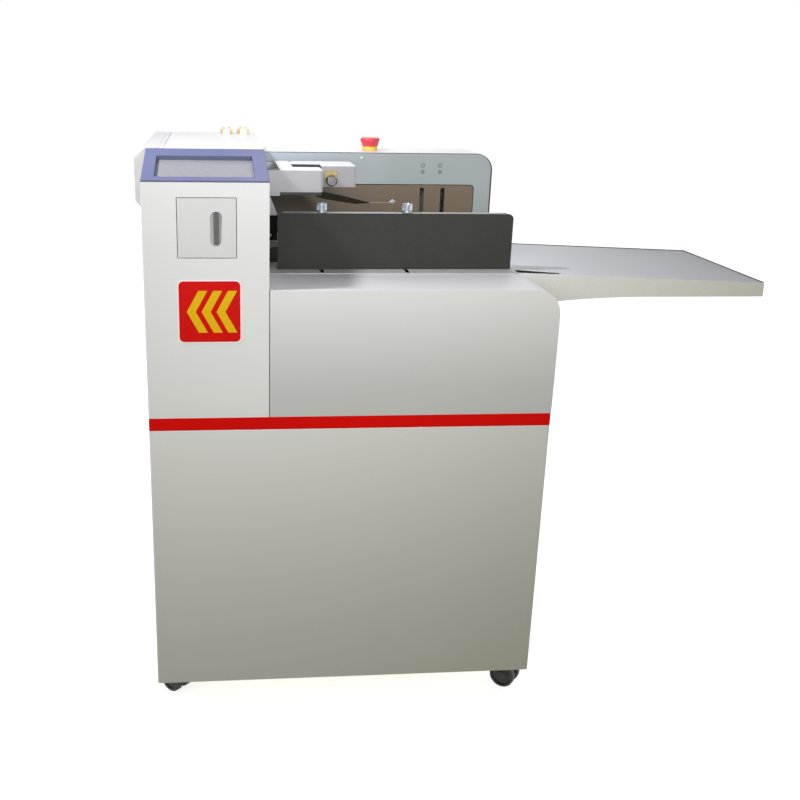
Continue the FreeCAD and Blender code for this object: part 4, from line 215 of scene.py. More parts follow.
FINISHES = {
    # Sheet steel in baked light grey paint: softly glossy and barely uneven.
    "casing_paint": powder_coat("light_grey_powder_coat", "#e5e5e5", "#e2e2e1"),
    # The same paint on the cabinet, with painted shade that makes it darker towards its right end.
    "cabinet_paint": powder_coat(
        "cabinet_grey_powder_coat", "#f2f2f1", "#e4e4e2", painted_shade_drift=("X", 60, 660)
    ),
    # On the upper case, painted shade: darker low down by the red band.
    "upper_paint": powder_coat(
        "upper_grey_powder_coat", "#cfcfce", "#e3e3e3", painted_shade_drift=("Z", 640, 800)
    ),
    # On the tower's front, painted shade: a little darker towards the top.
    "tower_paint": powder_coat(
        "tower_grey_powder_coat", "#efefee", "#e2e2e2", painted_shade_drift=("Z", 620, 880)
    ),
    # On the delivery hood and the door's leaf, a flat step greyer: painted shade for the less light
    # they get.
    "hood_paint": powder_coat("hood_grey_painted_shade_coat", "#d6d6d6", "#d3d3d3"),
    # On the tray, heavily speckled with little glint, and greyer towards the far end by painted
    # shade.
    "tray_paint": powder_coat(
        "tray_grey_powder_coat", "#dcdde1", "#b6b8bb", specks=0.14, painted_shade_drift=("X", 760, 1150),
        Specular_IOR_Level=0.17,
    ),
    # On the tray's folded edges, as speckled but nearly white, without the top's painted shade:
    # painted light in a lighter copy of the tray's paint.
    "flange_paint": powder_coat(
        "tray_flange_painted_light_coat", "#e9e9e5", "#e5e5e1", specks=0.14, Specular_IOR_Level=0.17
    ),
    # On the feed table, mid grey and duller where sheets slide.
    "deck_paint": powder_coat("deck_grey_powder_coat", "#b7b7b6", "#b2b2b1", rough=0.5),
    # Smooth gloss coat of the feed head and throat guide, which picks up soft reflections; its
    # grey, darker than the casing's paint, is painted shade.
    "head_paint": powder_coat("head_painted_shade_gloss_coat", "#a9a8aa", "#a5a4a6", rough=0.2),
    # The head's top sheet, as smooth but nearly white: painted light on the top of the same paint.
    "head_top": powder_coat("head_top_painted_light_coat", "#f4f5f9", "#f1f2f6", rough=0.3),
    # The bridge's baked white paint, faintly cool.
    "bridge_paint": powder_coat("white_powder_coat", "#fafbfe", "#f7f8fb"),
    # Floor of the door's finger pull: a dull dark grey, painted shade in the hollow.
    "pull_floor": moulded_plastic(
        "pull_floor_painted_shade", "#6f6f6b", "#686864", rough=0.6, Specular_IOR_Level=0.1
    ),
    # Satin coat of the band: a full, even red without speckle.
    "red_paint": powder_coat(
        "red_satin_paint", "#ee0b08", "#e60a07", rough=0.4, specks=0, Specular_IOR_Level=0.1
    ),
    # Satin violet blue of the console's bezel, with hardly any glint.
    "bezel_plastic": powder_coat(
        "periwinkle_satin_paint", "#6b719a", "#676d95", specks=0, Specular_IOR_Level=0.05
    ),
    # Painted shade on the bezel's front lip and the upper wall of its opening: the same blue,
    # greyed and dull.
    "bezel_painted_shade": powder_coat(
        "bezel_painted_shade_navy", "#6a6f87", "#656a81", rough=0.6, specks=0, Specular_IOR_Level=0.05
    ),
    # Matt film of the touch panel: an even mid grey.
    "screen": moulded_plastic(
        "touch_panel_film", "#98989d", "#949499", rough=0.5, grain=0, Specular_IOR_Level=0.1
    ),
    # Cast acrylic of the bridge's panel: pale and tinted, with painted shade that darkens it to the
    # right.
    "panel_acrylic": cast_acrylic(
        "pale_grey_green_acrylic", "#ced8e2", "#a8b0b0", Specular_IOR_Level=0.3
    ),
    # Sawn edges of the acrylic: a dark olive line round the sheet.
    "acrylic_edge": cast_acrylic(
        "dark_olive_acrylic_edge", "#33362c", "#2d3027", Specular_IOR_Level=0.2
    ),
    # Smoked cast acrylic of the window: brown, dulled by dust, and darker at its left end by
    # painted shade.
    "window_acrylic": cast_acrylic(
        "smoked_brown_acrylic", "#6e695f", "#827464", rough=0.45, Specular_IOR_Level=0.05
    ),
    # Satin paint on the fence: dark, with a low glint.
    "fence_paint": powder_coat(
        "dark_grey_satin_paint", "#3b3c38", "#373834", rough=0.6, Specular_IOR_Level=0.15
    ),
    # The fence's level top faces, pale: a painted highlight where light falls on them, and wear
    # from hands and paper.
    "fence_edge": powder_coat("fence_top_highlight_and_wear", "#a3a4a2", "#989997", rough=0.45),
    # Bright steel bar: fine streaks of light along it.
    "steel": rolled_metal("bright_rolled_steel", "#a9abad", "#95979a"),
    # Blackened steel: dark, with a broad soft sheen; also the painted shade under the feed head and
    # in the tray's notch.
    "inner_steel": rolled_metal("blackened_steel", "#3a3b38", "#30312e", rough=0.5),
    # Spring steel: a brown black that catches light along its rolling lines.
    "spring_steel": rolled_metal("dark_spring_steel", "#2c2a21", "#25231b", rough=0.5),
    # The same steel rubbed bare: a warm mid grey.
    "worn_steel": rolled_metal("worn_spring_steel", "#8f8679", "#867d70", rough=0.5),
    # Zinc plating: pale and cool, dulled in patches.
    "zinc": plated_metal("zinc_plated_steel", "#c9cbce", "#b3b6ba", rough=0.34),
    # Turned and polished brass: a pale yellow with bright glints.
    "brass": plated_metal("bright_brass_fitting", "#f2e6d0", "#e9d0a4", rough=0.3),
    # Rolled brass sheet: a browner yellow with fine streaks.
    "brass_plate": rolled_metal("rolled_brass_sheet", "#8f7f55", "#82724a", rough=0.4),
    # Chrome plating: nearly a mirror, whose dark grey base paints in the dark surroundings it
    # reflects.
    "chrome": plated_metal("chrome_painted_dark_reflection", "#77706f", "#656060", rough=0.16),
    # Turned aluminium of the clamp knobs: fine rings round them, and a grey base that paints in a
    # darker reflection.
    "aluminium": turned_metal("turned_aluminium_painted_reflection", "#abb2b8", "#8f969c"),
    # Moulded ABS of the emergency stop's head and the rocker: warm red, satin highlight.
    "red_plastic": moulded_plastic("red_moulded_plastic", "#e14650", "#db3e48", rough=0.34),
    # Moulded ABS of the stop's collar: a warm, even yellow.
    "yellow_plastic": moulded_plastic("yellow_moulded_plastic", "#ffcf5a", "#fbc84e", rough=0.38),
    # Moulded ABS of the levers, inlet and caster forks: black with a soft sheen.
    "black_plastic": moulded_plastic("black_moulded_plastic", "#1f2020", "#191a1a", rough=0.48),
    # Printed film of the lever marks: flat grey.
    "mark_print": moulded_plastic("grey_print_film", "#7b8486", "#768082", rough=0.5, grain=0),
    # Ground rubber of rollers and belt, also the throat's painted shade: black, with next to no
    # glint.
    "rubber": ground_rubber("black_feed_rubber", "#232321", "#1a1a18", Specular_IOR_Level=0.1),
    # Dull dark grey over the suction drum: painted shade where the drum lies in shadow.
    "drum_painted_shade": ground_rubber(
        "grey_drum_painted_shade", "#5a5a57", "#51514e", Specular_IOR_Level=0.1
    ),
    # Hard urethane of the caster wheels: black with a slight shine.
    "tyre": ground_rubber("black_caster_tread", "#222321", "#191a19", rough=0.5),
    # Painted casting of the motor and blower: dark grey and uneven.
    "motor_paint": powder_coat("dark_cast_housing", "#4c4e50", "#434547", rough=0.5),
    # Vinyl film of the sign, in pale, red and yellow: flat and clean-edged.
    "sign_rim": moulded_plastic("pale_sign_rim", "#faf3f2", "#f6efee", rough=0.4, grain=0),
    "sign_red": moulded_plastic(
        "red_sign_film", "#de0d08", "#d60b06", grain=0, Specular_IOR_Level=0.1
    ),
    "sign_yellow": moulded_plastic(
        "yellow_sign_film", "#eec00f", "#eabb0b", grain=0, Specular_IOR_Level=0.1
    ),
}


# ---- mesh helpers --------------------------------------------------------------------------------


def finished(mesh, name, body, finish, smooth=40):
    """Turns a bmesh into a piece that rides on a CAD body. Only edges over the smooth angle, in
    degrees, look sharp."""
    bmesh.ops.recalc_face_normals(mesh, faces=mesh.faces)
    data = bpy.data.meshes.new(name)
    mesh.to_mesh(data)
    mesh.free()
    piece = bpy.data.objects.new(name, data)
    bpy.context.scene.collection.objects.link(piece)
    data.materials.append(FINISHES[finish])
    data.shade_smooth()
    data.set_sharp_from_angle(angle=math.radians(smooth))
    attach(piece, body)
    return piece


def stands_for(piece, node):
    """The piece takes the CAD node's place."""
    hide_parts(node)
    return piece


def broken_edges(piece, width, slot=-1):
    """Breaks sharp edges, in the finish of the material slot if one is given; weighted normals keep
    the sheet flat between them."""
    bevel = piece.modifiers.new("broken_edges", "BEVEL")
    bevel.material = slot
    bevel.width = width * MM
    bevel.segments = 3
    bevel.limit_method = "ANGLE"
    bevel.angle_limit = math.radians(28)
    bevel.miter_outer = "MITER_ARC"
    flats = piece.modifiers.new("flats", "WEIGHTED_NORMAL")
    flats.keep_sharp = True
    return piece


def dressed(node, width, finish=None, second=None, chosen=None, folds=None, fold=0, edges=-1):
    """The CAD node's own shape with broken edges. Edges for which folds(edge) holds get the fold's
    radius, and faces for which chosen(normal, centre) holds get the second finish, as do broken
    edges where edges is 1."""
    mesh = bmesh.new()
    mesh.from_mesh(frame["nodes"][node].data)
    bmesh.ops.remove_doubles(mesh, verts=mesh.verts, dist=0.005 * MM)
    nearly_flat = math.radians(0.6)
    bmesh.ops.dissolve_limit(mesh, angle_limit=nearly_flat, verts=mesh.verts, edges=mesh.edges)
    if folds:
        bent = [edge for edge in mesh.edges if not edge.is_boundary and folds(edge)]
        bmesh.ops.bevel(mesh, geom=bent, offset=fold * MM, segments=4, profile=0.5, affect="EDGES")
    piece = finished(mesh, f"dressed_{node}", BODY_OF[node], finish or SLOT_OF[node])
    if second:
        piece.data.materials.append(FINISHES[second])
        for face in piece.data.polygons:
            face.material_index = int(chosen(face.normal, face.center))
    return stands_for(broken_edges(piece, width, slot=edges), node)


def turned(name, body, finish, rings, origin, axis, segments=72, teeth=0, depth=0.0):
    """A turned piece from rings of (radius, height along the axis) in mm. A third value, True, cuts
    the ring with knurling teeth, each of four points with two of them cut in."""
    turn = Vector((0, 0, 1)).rotation_difference(Vector(axis)).to_matrix()
    count = teeth * 4 if teeth else segments
    mesh = bmesh.new()
    loops = []
    for radius, height, *knurled in rings:
        if radius == 0:
            loops.append([mesh.verts.new(origin + turn @ Vector((0, 0, height * MM)))])
            continue
        loop = []
        for i in range(count):
            angle = 2 * math.pi * i / count
            r = radius - (depth if knurled and i % 4 in (0, 1) else 0)
            point = Vector((r * math.cos(angle), r * math.sin(angle), height)) * MM
            loop.append(mesh.verts.new(origin + turn @ point))
        loops.append(loop)
    for first, second in zip(loops, loops[1:]):
        for i in range(count):
            j = (i + 1) % count
            if len(first) == 1:
                mesh.faces.new((first[0], second[i], second[j]))
            elif len(second) == 1:
                mesh.faces.new((first[i], first[j], second[0]))
            else:
                mesh.faces.new((first[i], first[j], second[j], second[i]))
    return finished(mesh, name, body, finish, 35)


def plate(name, body, finish, outline, thick, place):
    """A flat piece from an outline in mm in its own plane, thickened along the plane's normal."""
    mesh = bmesh.new()
    face = mesh.faces.new([mesh.verts.new(place @ Vector((x * MM, y * MM, 0))) for x, y in outline])
    lifted = bmesh.ops.extrude_face_region(mesh, geom=[face])["geom"]
    corners = [part for part in lifted if isinstance(part, bmesh.types.BMVert)]
    bmesh.ops.translate(mesh, verts=corners, vec=place.to_3x3() @ Vector((0, 0, thick * MM)))
    return finished(mesh, name, body, finish, 30)


def around(x, y, radius, angle):
    """The point at an angle on a circle round (x, y)."""
    return x + radius * math.cos(angle), y + radius * math.sin(angle)


def oblong(left, low, right, high):
    """The outline of a rectangle."""
    return [(left, low), (right, low), (right, high), (left, high)]


def rounded(x0, y0, x1, y1, radius, steps):
    """The outline of a rectangle with round corners."""
    left, low, right, high = x0 + radius, y0 + radius, x1 - radius, y1 - radius
    points = []
    for quarter, (x, y) in enumerate(((right, high), (left, high), (left, low), (right, low))):
        for i in range(steps + 1):
            points.append(around(x, y, radius, math.pi / 2 * (quarter + i / steps)))
    return points


def facing_front(x, y, z):
    """A plane whose first axis is +X, second +Z and normal -Y."""
    turn = Matrix(((1, 0, 0), (0, 0, -1), (0, 1, 0)))
    return Matrix.Translation(at(x, y, z)) @ turn.to_4x4()


# ---- sheet metal ---------------------------------------------------------------------------------

BRIDGE_FRONT = 513  # front face of the bridge's panel
HAIR = 0.05  # a film stands this far off the face behind it, and a print sinks as far into it

# How much of a face's normal has to lie along an axis.
LEVEL = 0.9  # for a level face
SLOPING = 0.7  # for a face that slopes a little
FACING = 0.5  # for a face turned to the front or the back


def casing_fold(edge):
    """The fold from the upper case's front into its strip and round its right shoulder."""
    front, beside_tower, above_band = at(0, 0, 0).y, at(212, 0, 0).x, at(0, 0, 592).z
    on_front = all(abs(v.co.y - front) < 0.05 * MM for v in edge.verts)
    inside = all(v.co.x > beside_tower and v.co.z > above_band for v in edge.verts)
    return on_front and inside


def bezel_painted_shade(normal, centre):
    """The bezel's front lip and the upper wall of its opening, where shade is painted."""
    return normal.y < -FACING


def cut_edge(normal, centre):
    """The sawn edges of an upright sheet."""
    return abs(normal.y) < FACING


def off_level(normal, centre):
    """The flanges round the tray's level top, which take the painted light."""
    return normal.z < SLOPING


def head_painted_light_top(normal, centre):
    """The feed head's flat top sheet, above its steps, which takes the painted light."""
    return normal.z > LEVEL and centre.z > at(0, 0, 975).z


def fence_top(normal, centre):
    """The fence's top faces, which take the painted highlight and wear."""
    return normal.z > LEVEL


dressed("cabinet_shell", 0.8, "cabinet_paint")
dressed("back_panel", 0.4)
dressed("trim_band", 0.8)
dressed("upper_casing", 0.4, "upper_paint", folds=casing_fold, fold=2.2)
dressed("tower_front_panel", 0.5, "tower_paint")
dressed("tower_cover", 0.7)
dressed("delivery_hood", 0.6, "hood_paint")
dressed("bridge_housing", 0.7, "bridge_paint")
dressed("feed_tray", 0.6, "tray_paint", second="flange_paint", chosen=off_level)
dressed("deck_plate", 0.3, "deck_paint")
dressed("feed_head_bracket", 0.5, "head_paint", second="head_top", chosen=head_painted_light_top)
dressed("throat_guide", 0.5, "head_paint")
dressed("fence_plate", 0.35, second="fence_edge", chosen=fence_top)
dressed("separator_plate", 0.3, "brass_plate")
dressed("bridge_front_panel", 1.2, second="acrylic_edge", chosen=cut_edge, edges=1)
dressed("bridge_window", 0.4, second="acrylic_edge", chosen=cut_edge)
dressed("touch_screen", 0.4)
dressed("console_bezel", 0.4, second="bezel_painted_shade", chosen=bezel_painted_shade)
dressed("mains_inlet", 0.5)
dressed("power_rocker", 0.6)
dressed("air_lever_left", 1.2)
dressed("air_lever_right", 1.2)
dressed("air_fittings", 0.8)
dressed("hood_hinge", 0.3, "casing_paint")
dressed("unit_side_plates", 0.3, "inner_steel")
for node in ("suction_box", "caster_plates", "cover_screws", "die_bar", "blade_beam"):
    dressed(node, 0.3)


def hinge_tabs():
    """Narrow tabs just below the top, which close the gaps on either side of the hood's hinge."""
    low, high, rear, length = 1030.8, 1032.2, 620, 430
    tabs = (("delivery_hood", "delivery_hood", 19.5, 23.4), ("hood_hinge", "machine", 31.1, 33))
    for name, body, left, right in tabs:
        section = oblong(left, low, right, high)
        tab = plate(f"{name}_tab", body, "casing_paint", section, length, facing_front(0, rear, 0))
        stands_for(tab, name)


hinge_tabs()


def head_flanges():
    """The feed head's inner wall beside the tower, in white as painted light, and its turned-in
    lower edge at the front, in dark steel as painted shade.
    """
    inner, front, fold_line = 427.8, 233.6, 952.5
    flanges = (
        # The wall's white is painted light and the edge's dark steel is painted shade.
        ("wall", "bridge_paint", oblong(212.5, 955, 256, 989), 1, inner),
        ("tab", "head_paint", oblong(223, 945, 241.5, fold_line), 1.5, front),
        ("edge", "inner_steel", oblong(241.5, 946, 319, fold_line), 1.5, front),
    )
    for name, finish, outline, thick, y in flanges:
        piece = plate(f"head_{name}", "machine", finish, outline, thick, facing_front(0, y, 0))
        stands_for(piece, "feed_head_bracket")


head_flanges()


def throat_painted_shade():
    """Black sheet on the bridge's front in the throat between the tower and the slanting guide:
    painted shade where the throat lies in shadow.
    """
    film = oblong(212.5, 817.5, 254, 872)
    place = facing_front(0, BRIDGE_FRONT - HAIR, 0)
    plate("throat_painted_shade", "machine", "rubber", film, 0.2, place)


throat_painted_shade()


def tray_details():
    """Dark plate that closes the notch in the tray from below, and a dark low lip round two edges:
    both painted shade.
    """
    brace = oblong(684, 152, 792, 236)
    under = Matrix.Translation(at(0, 0, 806))
    stands_for(plate("tray_notch_shade", "machine", "inner_steel", brace, 1, under), "feed_tray")
    drop, length = 18.3, 484.5
    slope = Matrix.Rotation(math.atan(drop / length), 4, "Y")
    on_slope = Matrix.Translation(at(682.5, 0, 814.7)) @ slope
    lip = [(33, 511.8), (482, 511.8), (482, 150), (483.4, 150), (483.4, 512.9), (33, 512.9)]
    stands_for(plate("tray_shade_lip", "machine", "fence_paint", lip, 1.4, on_slope), "feed_tray")


tray_details()


def bridge_shade_trim():
    """Black edging on the panel's right end, narrowing to nothing along the round corner: painted
    shade along that edge.
    """
    x, z, low = 680, 968, 818
    outside, inside, narrowing = 34.8, 31.9, 1.6
    angles = [math.pi / 2 * step / 16 for step in range(17)]
    outer = [around(x, z, outside, angle) for angle in angles]
    inner = [around(x, z, inside + narrowing * angle, angle) for angle in angles]
    outline = [(x + outside, low), *outer, *reversed(inner), (x + inside, low)]
    place = facing_front(0, BRIDGE_FRONT - HAIR, 0)
    trim = plate("bridge_shade_trim", "machine", "acrylic_edge", outline, 0.3, place)
    stands_for(trim, "bridge_front_panel")


bridge_shade_trim()


# ---- sheet hold-down -----------------------------------------------------------------------------


def hold_down_arm():
    """A channel of spring steel that tapers from its pivot to a thin tongue with a flat foot."""
    node = "hold_down_arm"
    upper = [(325, 938), (343, 933.5), (375, 927.5), (405, 920.5), (434, 913.6)]
    lower = [(434, 912.4), (405, 911), (375, 915), (343, 920), (325, 925)]
    web = upper + [(x, z - 1.2) for x, z in reversed(upper)]
    tongue = [(433, 913.6), (483, 913.9), (483, 912.9), (433, 912.4)]
    foot = [(482.2, 914.4), (489.1, 920.2), (495.5, 916.5), (489.6, 910.8)]
    back = facing_front(0, 406, 0)
    strips = (
        ("front_cheek", "spring_steel", upper + lower, 1.4, facing_front(0, 395.4, 0), 0.3),
        ("back_cheek", "spring_steel", upper + lower, 1.4, back, 0.3),
        ("web", "spring_steel", web, 12, back, 0),
        ("tongue", "worn_steel", tongue, 5, facing_front(0, 402.5, 0), 0),
        ("foot", "zinc", foot, 2, facing_front(-7.5, 401, 0), 0.4),
    )
    for name, finish, outline, thick, place, edge in strips:
        strip = plate(f"hold_down_{name}", BODY_OF[node], finish, outline, thick, place)
        if edge:
            broken_edges(strip, edge)
        stands_for(strip, node)
    rings = [(0, -6.3), (1.5, -6.3), (1.5, -6), (3.5, -6)]
    rings += [(3.5, 6), (1.5, 6), (1.5, 6.3), (0, 6.3)]
    pivot = at(327, 400, 944)
    barrel = turned("hold_down_barrel", BODY_OF[node], "steel", rings, pivot, (0, 1, 0), 32)
    stands_for(barrel, node)


hold_down_arm()


# ---- access door ---------------------------------------------------------------------------------

PULL_X, PULL_Z = 122, 917  # middle of the finger pull
PULL_POINTS = 48  # points round it


def pull_outline(width, height, depth):
    """The finger pull's upright slot with round ends, at one depth behind the door's face."""
    half = PULL_POINTS // 2
    points = []
    for i in range(PULL_POINTS):
        angle = math.pi * (i % half) / (half - 1) + (math.pi if i >= half else 0)
        side = 1 if i < half else -1
        x = width / 2 * math.cos(angle)
        z = width / 2 * math.sin(angle) + side * (height - width) / 2
        points.append((PULL_X + x, PULL_Z + z, depth))
    return points


def door_outline(outline, depth):
    """The door's rectangle, with one point straight outwards from each point of the pull."""
    left, right, low, high = 58.1, 154.9, 870.1, 967.9
    points = []
    for x, z, _ in outline:
        dx, dz = x - PULL_X, z - PULL_Z
        reach_x = ((right if dx > 0 else left) - PULL_X) / dx
        reach_z = ((high if dz > 0 else low) - PULL_Z) / dz
        reach = min(reach_x, reach_z)
        points.append([PULL_X + dx * reach, PULL_Z + dz * reach, depth])
    for corner in [(x, z) for x in (left, right) for z in (low, high)]:
        nearest = min(points, key=lambda point: math.dist(point[:2], corner))
        nearest[:2] = corner
    return points


def access_door():
    """Flat door whose finger pull has sloping sides down to a floor in painted shade."""
    face, back = 0.1, 2.9
    rim = pull_outline(20, 57.6, face)
    loops = [pull_outline(9.6, 55, 8.2), pull_outline(19.4, 57, 0.9), rim, door_outline(rim, face)]
    loops += [door_outline(rim, back), pull_outline(26, 64, back), pull_outline(26, 64, 8.9)]
    mesh = bmesh.new()
    rings = [[mesh.verts.new(at(x, y, z)) for x, z, y in loop] for loop in loops]
    floor = mesh.faces.new(rings[0])
    mesh.faces.new(rings[-1])
    for near, far in zip(rings, rings[1:]):
        for i in range(PULL_POINTS):
            j = (i + 1) % PULL_POINTS
            mesh.faces.new((near[i], near[j], far[j], far[i]))
    floor.material_index = 1
    node = "access_door"
    # The leaf is in the hood's paint, a step greyer as painted shade.
    leaf = finished(mesh, f"dressed_{node}", BODY_OF[node], "hood_paint", 25)
    leaf.data.materials.append(FINISHES["pull_floor"])
    stands_for(leaf, node)
    pins = [(0, 866.1), (1, 866.1), (1, 971.9), (0, 971.9)]
    foot = at(59.5, 1.5, 0)
    stands_for(turned("door_pins", BODY_OF[node], "steel", pins, foot, (0, 0, 1), 24), node)


access_door()


# ---- turned and moulded pieces -------------------------------------------------------------------


def clamp_post(node, x):
    """Knurled clamp knob on its rod, with the round nut under the table."""
    foot, upright = at(x, 193, 0), (0, 0, 1)
    nut = [(0, 809.7), (6.6, 809.7), (7, 810.1), (7, 814.3), (6.6, 814.7), (0, 814.7)]
    stands_for(turned(f"{node}_nut", node, "inner_steel", nut, foot, upright, 32), node)
    rings = [(0, 814.7), (3, 814.7), (3, 920.3), (9.2, 920.3), (10, 921.1), (10, 923.6)]
    rings += [(9.5, 923.9), (9.5, 924.7), (10, 925), (10, 925.2, True), (10, 934.4, True)]
    rings += [(10, 934.6), (10, 936), (9.2, 936.8), (4.5, 936.8), (4.2, 936.2), (0, 936.2)]
    name = f"dressed_{node}"
    stands_for(turned(name, node, "aluminium", rings, foot, upright, teeth=44, depth=0.35), node)


clamp_post("clamp_post_left", 316)
clamp_post("clamp_post_right", 475)


def separator_knob():
    """Chromed knurled knob with a dished face."""
    rings = [(0, 0), (4, 0), (4.6, 0.6), (8.2, 0.6), (8.8, 0), (9.6, 0.2), (10.5, 1.2)]
    rings += [(10.5, 1.6, True), (10.5, 8.8, True), (10.5, 9.2), (9.6, 10.2), (7, 10.4)]
    rings += [(6.4, 13), (3, 13), (3, 20.9), (0, 20.9)]
    node, face = "separator_knob", at(346.5, 306, 965)
    name = f"dressed_{node}"
    stands_for(turned(name, node, "chrome", rings, face, (0, 1, 0), teeth=36, depth=0.5), node)


separator_knob()


def emergency_stop():
    """Yellow collar with its nut and barrel, and the red mushroom head that flares upwards."""
    place, upright = at(457.5, 576.5, 1003), (0, 0, 1)
    collar = [(5.05, -30), (10.4, -30), (10.8, -29.4), (10.8, -6), (14.4, -6), (15, -5.4)]
    collar += [(15, -2.6), (14.4, -2), (10.8, -2), (10.8, 0), (15.8, 0), (16.4, 0.8)]
    collar += [(16.4, 7.6), (15.9, 8.8), (14.9, 9.5), (9, 9.5), (8.4, 8.6), (5.05, 8.6)]
    collar += [(5.05, -30)]
    base = turned("dressed_estop_base", "machine", "yellow_plastic", collar, place, upright)
    stands_for(base, "estop_base")
    head = [(5.05, 14.5), (16.7, 14.5), (16.7, 10), (17.2, 10), (17.6, 10.5), (18, 13.5)]
    head += [(19.2, 17), (20.7, 19.6), (21, 20.4), (21, 22.8), (20.6, 24.6), (19.4, 25.9)]
    head += [(17.2, 26.7), (12, 27), (5, 26.8), (0, 26.8)]
    mushroom = turned("dressed_estop_head", "estop_head", "red_plastic", head, place, upright)
    stands_for(mushroom, "estop_head")


emergency_stop()


# ---- casters -------------------------------------------------------------------------------------

# Where each one swivels, and the way its wheels trail in degrees.
CASTERS = {
    "front_left": (48, 62, 135),
    "front_right": (672, 62, -38),
    "rear_left": (48, 578, 50),
    "rear_right": (672, 578, 200),
}
WHEEL_RADIUS = 25
TRAIL = 22  # from the swivel's axis to the axle


def caster(corner, x, y, yaw):
    """Twin wheels with a dished hub and a raised hub cap, either side of the fork's web."""
    ahead = Vector((math.cos(math.radians(yaw)), math.sin(math.radians(yaw)), 0))
    axle = Vector((-ahead.y, ahead.x, 0))
    hub = at(x, y, WHEEL_RADIUS) + ahead * TRAIL * MM
    node = f"caster_wheels_{corner}"
    rings = [(3.05, 5.4), (14, 5.4), (22.4, 5.4), (24.3, 6.2), (25, 7.6), (25, 17.2)]
    rings += [(24.3, 18.6), (22.6, 19.4), (20.4, 19.4), (19.4, 18.4), (18.8, 16.2)]
    rings += [(13.4, 15.6), (12.6, 16.8), (9.6, 17.2), (8.8, 18.6), (7.6, 19.3), (6, 19.4)]
    rings += [(3.05, 19.4), (3.05, 5.4)]
    for name, side in (("left", -1), ("right", 1)):
        wheel = turned(f"dressed_{node}_{name}", node, "tyre", rings, hub, axle * side, 64)
        stands_for(wheel, node)
    dressed(f"caster_fork_{corner}", 0.8)


for corner, (x, y, yaw) in CASTERS.items():
    caster(corner, x, y, yaw)


# ---- sign and small marks ------------------------------------------------------------------------


def sign():
    """Square film sign on the tower: a red field in a pale rim, and three arrows that point the way
    the sheets go."""
    left, low, right, high = 55.5, 724, 163, 832.5
    place = facing_front(0, HAIR, 0)
    for name, inset, radius, thick in (("sign_rim", 0, 9, 0.3), ("sign_red", 2, 8, 0.4)):
        outline = rounded(left + inset, low + inset, right - inset, high - inset, radius, 16)
        plate(name, "machine", name, outline, thick, place)
    middle, reach, point, band, margin, pitch = (low + high) / 2, 36, 20, 15, 15, 25
    for index in range(3):
        tip = left + margin + index * pitch
        neck, tail = tip + point, tip + point + band
        arrow = [(tip, middle), (neck, middle + reach), (tail, middle + reach)]
        arrow += [(tip + band, middle), (tail, middle - reach), (neck, middle - reach)]
        plate(f"sign_arrow_{index}", "machine", "sign_yellow", arrow, 0.5, place)


sign()


def lever_marks():
    """Over each air lever, an open ring above a filled dot: more air, less air."""
    face, dot_height, ring_height = BRIDGE_FRONT + HAIR, 964.5, 978
    place = facing_front(0, face, 0)
    rings = [(2.2, 0), (4.8, 0), (4.8, 0.25), (2.2, 0.25), (2.2, 0)]
    for index, x in enumerate((564, 601)):
        dot = [around(x, dot_height, 4.6, step / 12 * math.pi) for step in range(24)]
        plate(f"lever_dot_{index}", "machine", "mark_print", dot, 0.2, place)
        middle = at(x, face, ring_height)
        turned(f"lever_ring_{index}", "machine", "mark_print", rings, middle, (0, -1, 0), 32)


lever_marks()


# ---- the other CAD nodes keep their shape and get their finish, the drum in painted shade --------

for name, node in frame["nodes"].items():
    if not node.hide_render:
        # The suction drum takes painted shade instead of its own finish.
        finish = "drum_painted_shade" if name == "suction_drum" else SLOT_OF[name]
        node.data.materials.clear()
        node.data.materials.append(FINISHES[finish])


# ---- camera, light and floor ---------------------------------------------------------------------


def camera():
    """Level with the console, a little left of the machine's middle, looking down on the table."""
    right = Vector((0.99522573, -0.09603516, 0.01740658))
    down = Vector((-0.01460858, -0.32291257, -0.94631605))
    ahead = Vector((0.09650042, 0.9415438, -0.32277384))
    side, focal, centre_x, centre_y = 800, 1057.7, 318.2, 424.3  # in parts of the square frame
    data = bpy.data.cameras.new("camera")
    data.sensor_width = 36
    data.lens = focal / side * data.sensor_width
    data.shift_x = (side / 2 - centre_x) / side
    data.shift_y = (centre_y - side / 2) / side
    data.clip_end = 30
    thing = bpy.data.objects.new("camera", data)
    turn = Matrix((right, -down, -ahead)).transposed().to_4x4()
    thing.matrix_world = Matrix.Translation(at(116.3, -1764.5, 1179.2)) @ turn
    bpy.context.scene.collection.objects.link(thing)
    bpy.context.scene.camera = thing


def softbox(name, place, target, width, height, watts, spread=180, colour="#ffffff"):
    """A rectangular lamp with a grid that narrows its beam to the spread in degrees."""
    data = bpy.data.lights.new(name, "AREA")
    data.shape = "RECTANGLE"
    data.size, data.size_y = width, height
    data.energy = watts
    data.spread = math.radians(spread)
    data.color = linear(colour)[:3]
    thing = bpy.data.objects.new(name, data)
    thing.location = place
    thing.rotation_euler = (Vector(target) - Vector(place)).to_track_quat("-Z", "Y").to_euler()
    bpy.context.scene.collection.objects.link(thing)


def seen_directly(tree):
    """1 where the camera, a reflection or something see-through shows the surface, and 0 where only
    its light counts."""
    rays = add(tree, "LightPath")
    seen = rays["Is Camera Ray"]
    for kind in ("Is Transmission Ray", "Is Glossy Ray"):
        seen = add(tree, "Math", {"operation": "MAXIMUM"}, _0=seen, _1=rays[kind])[0]
    return seen


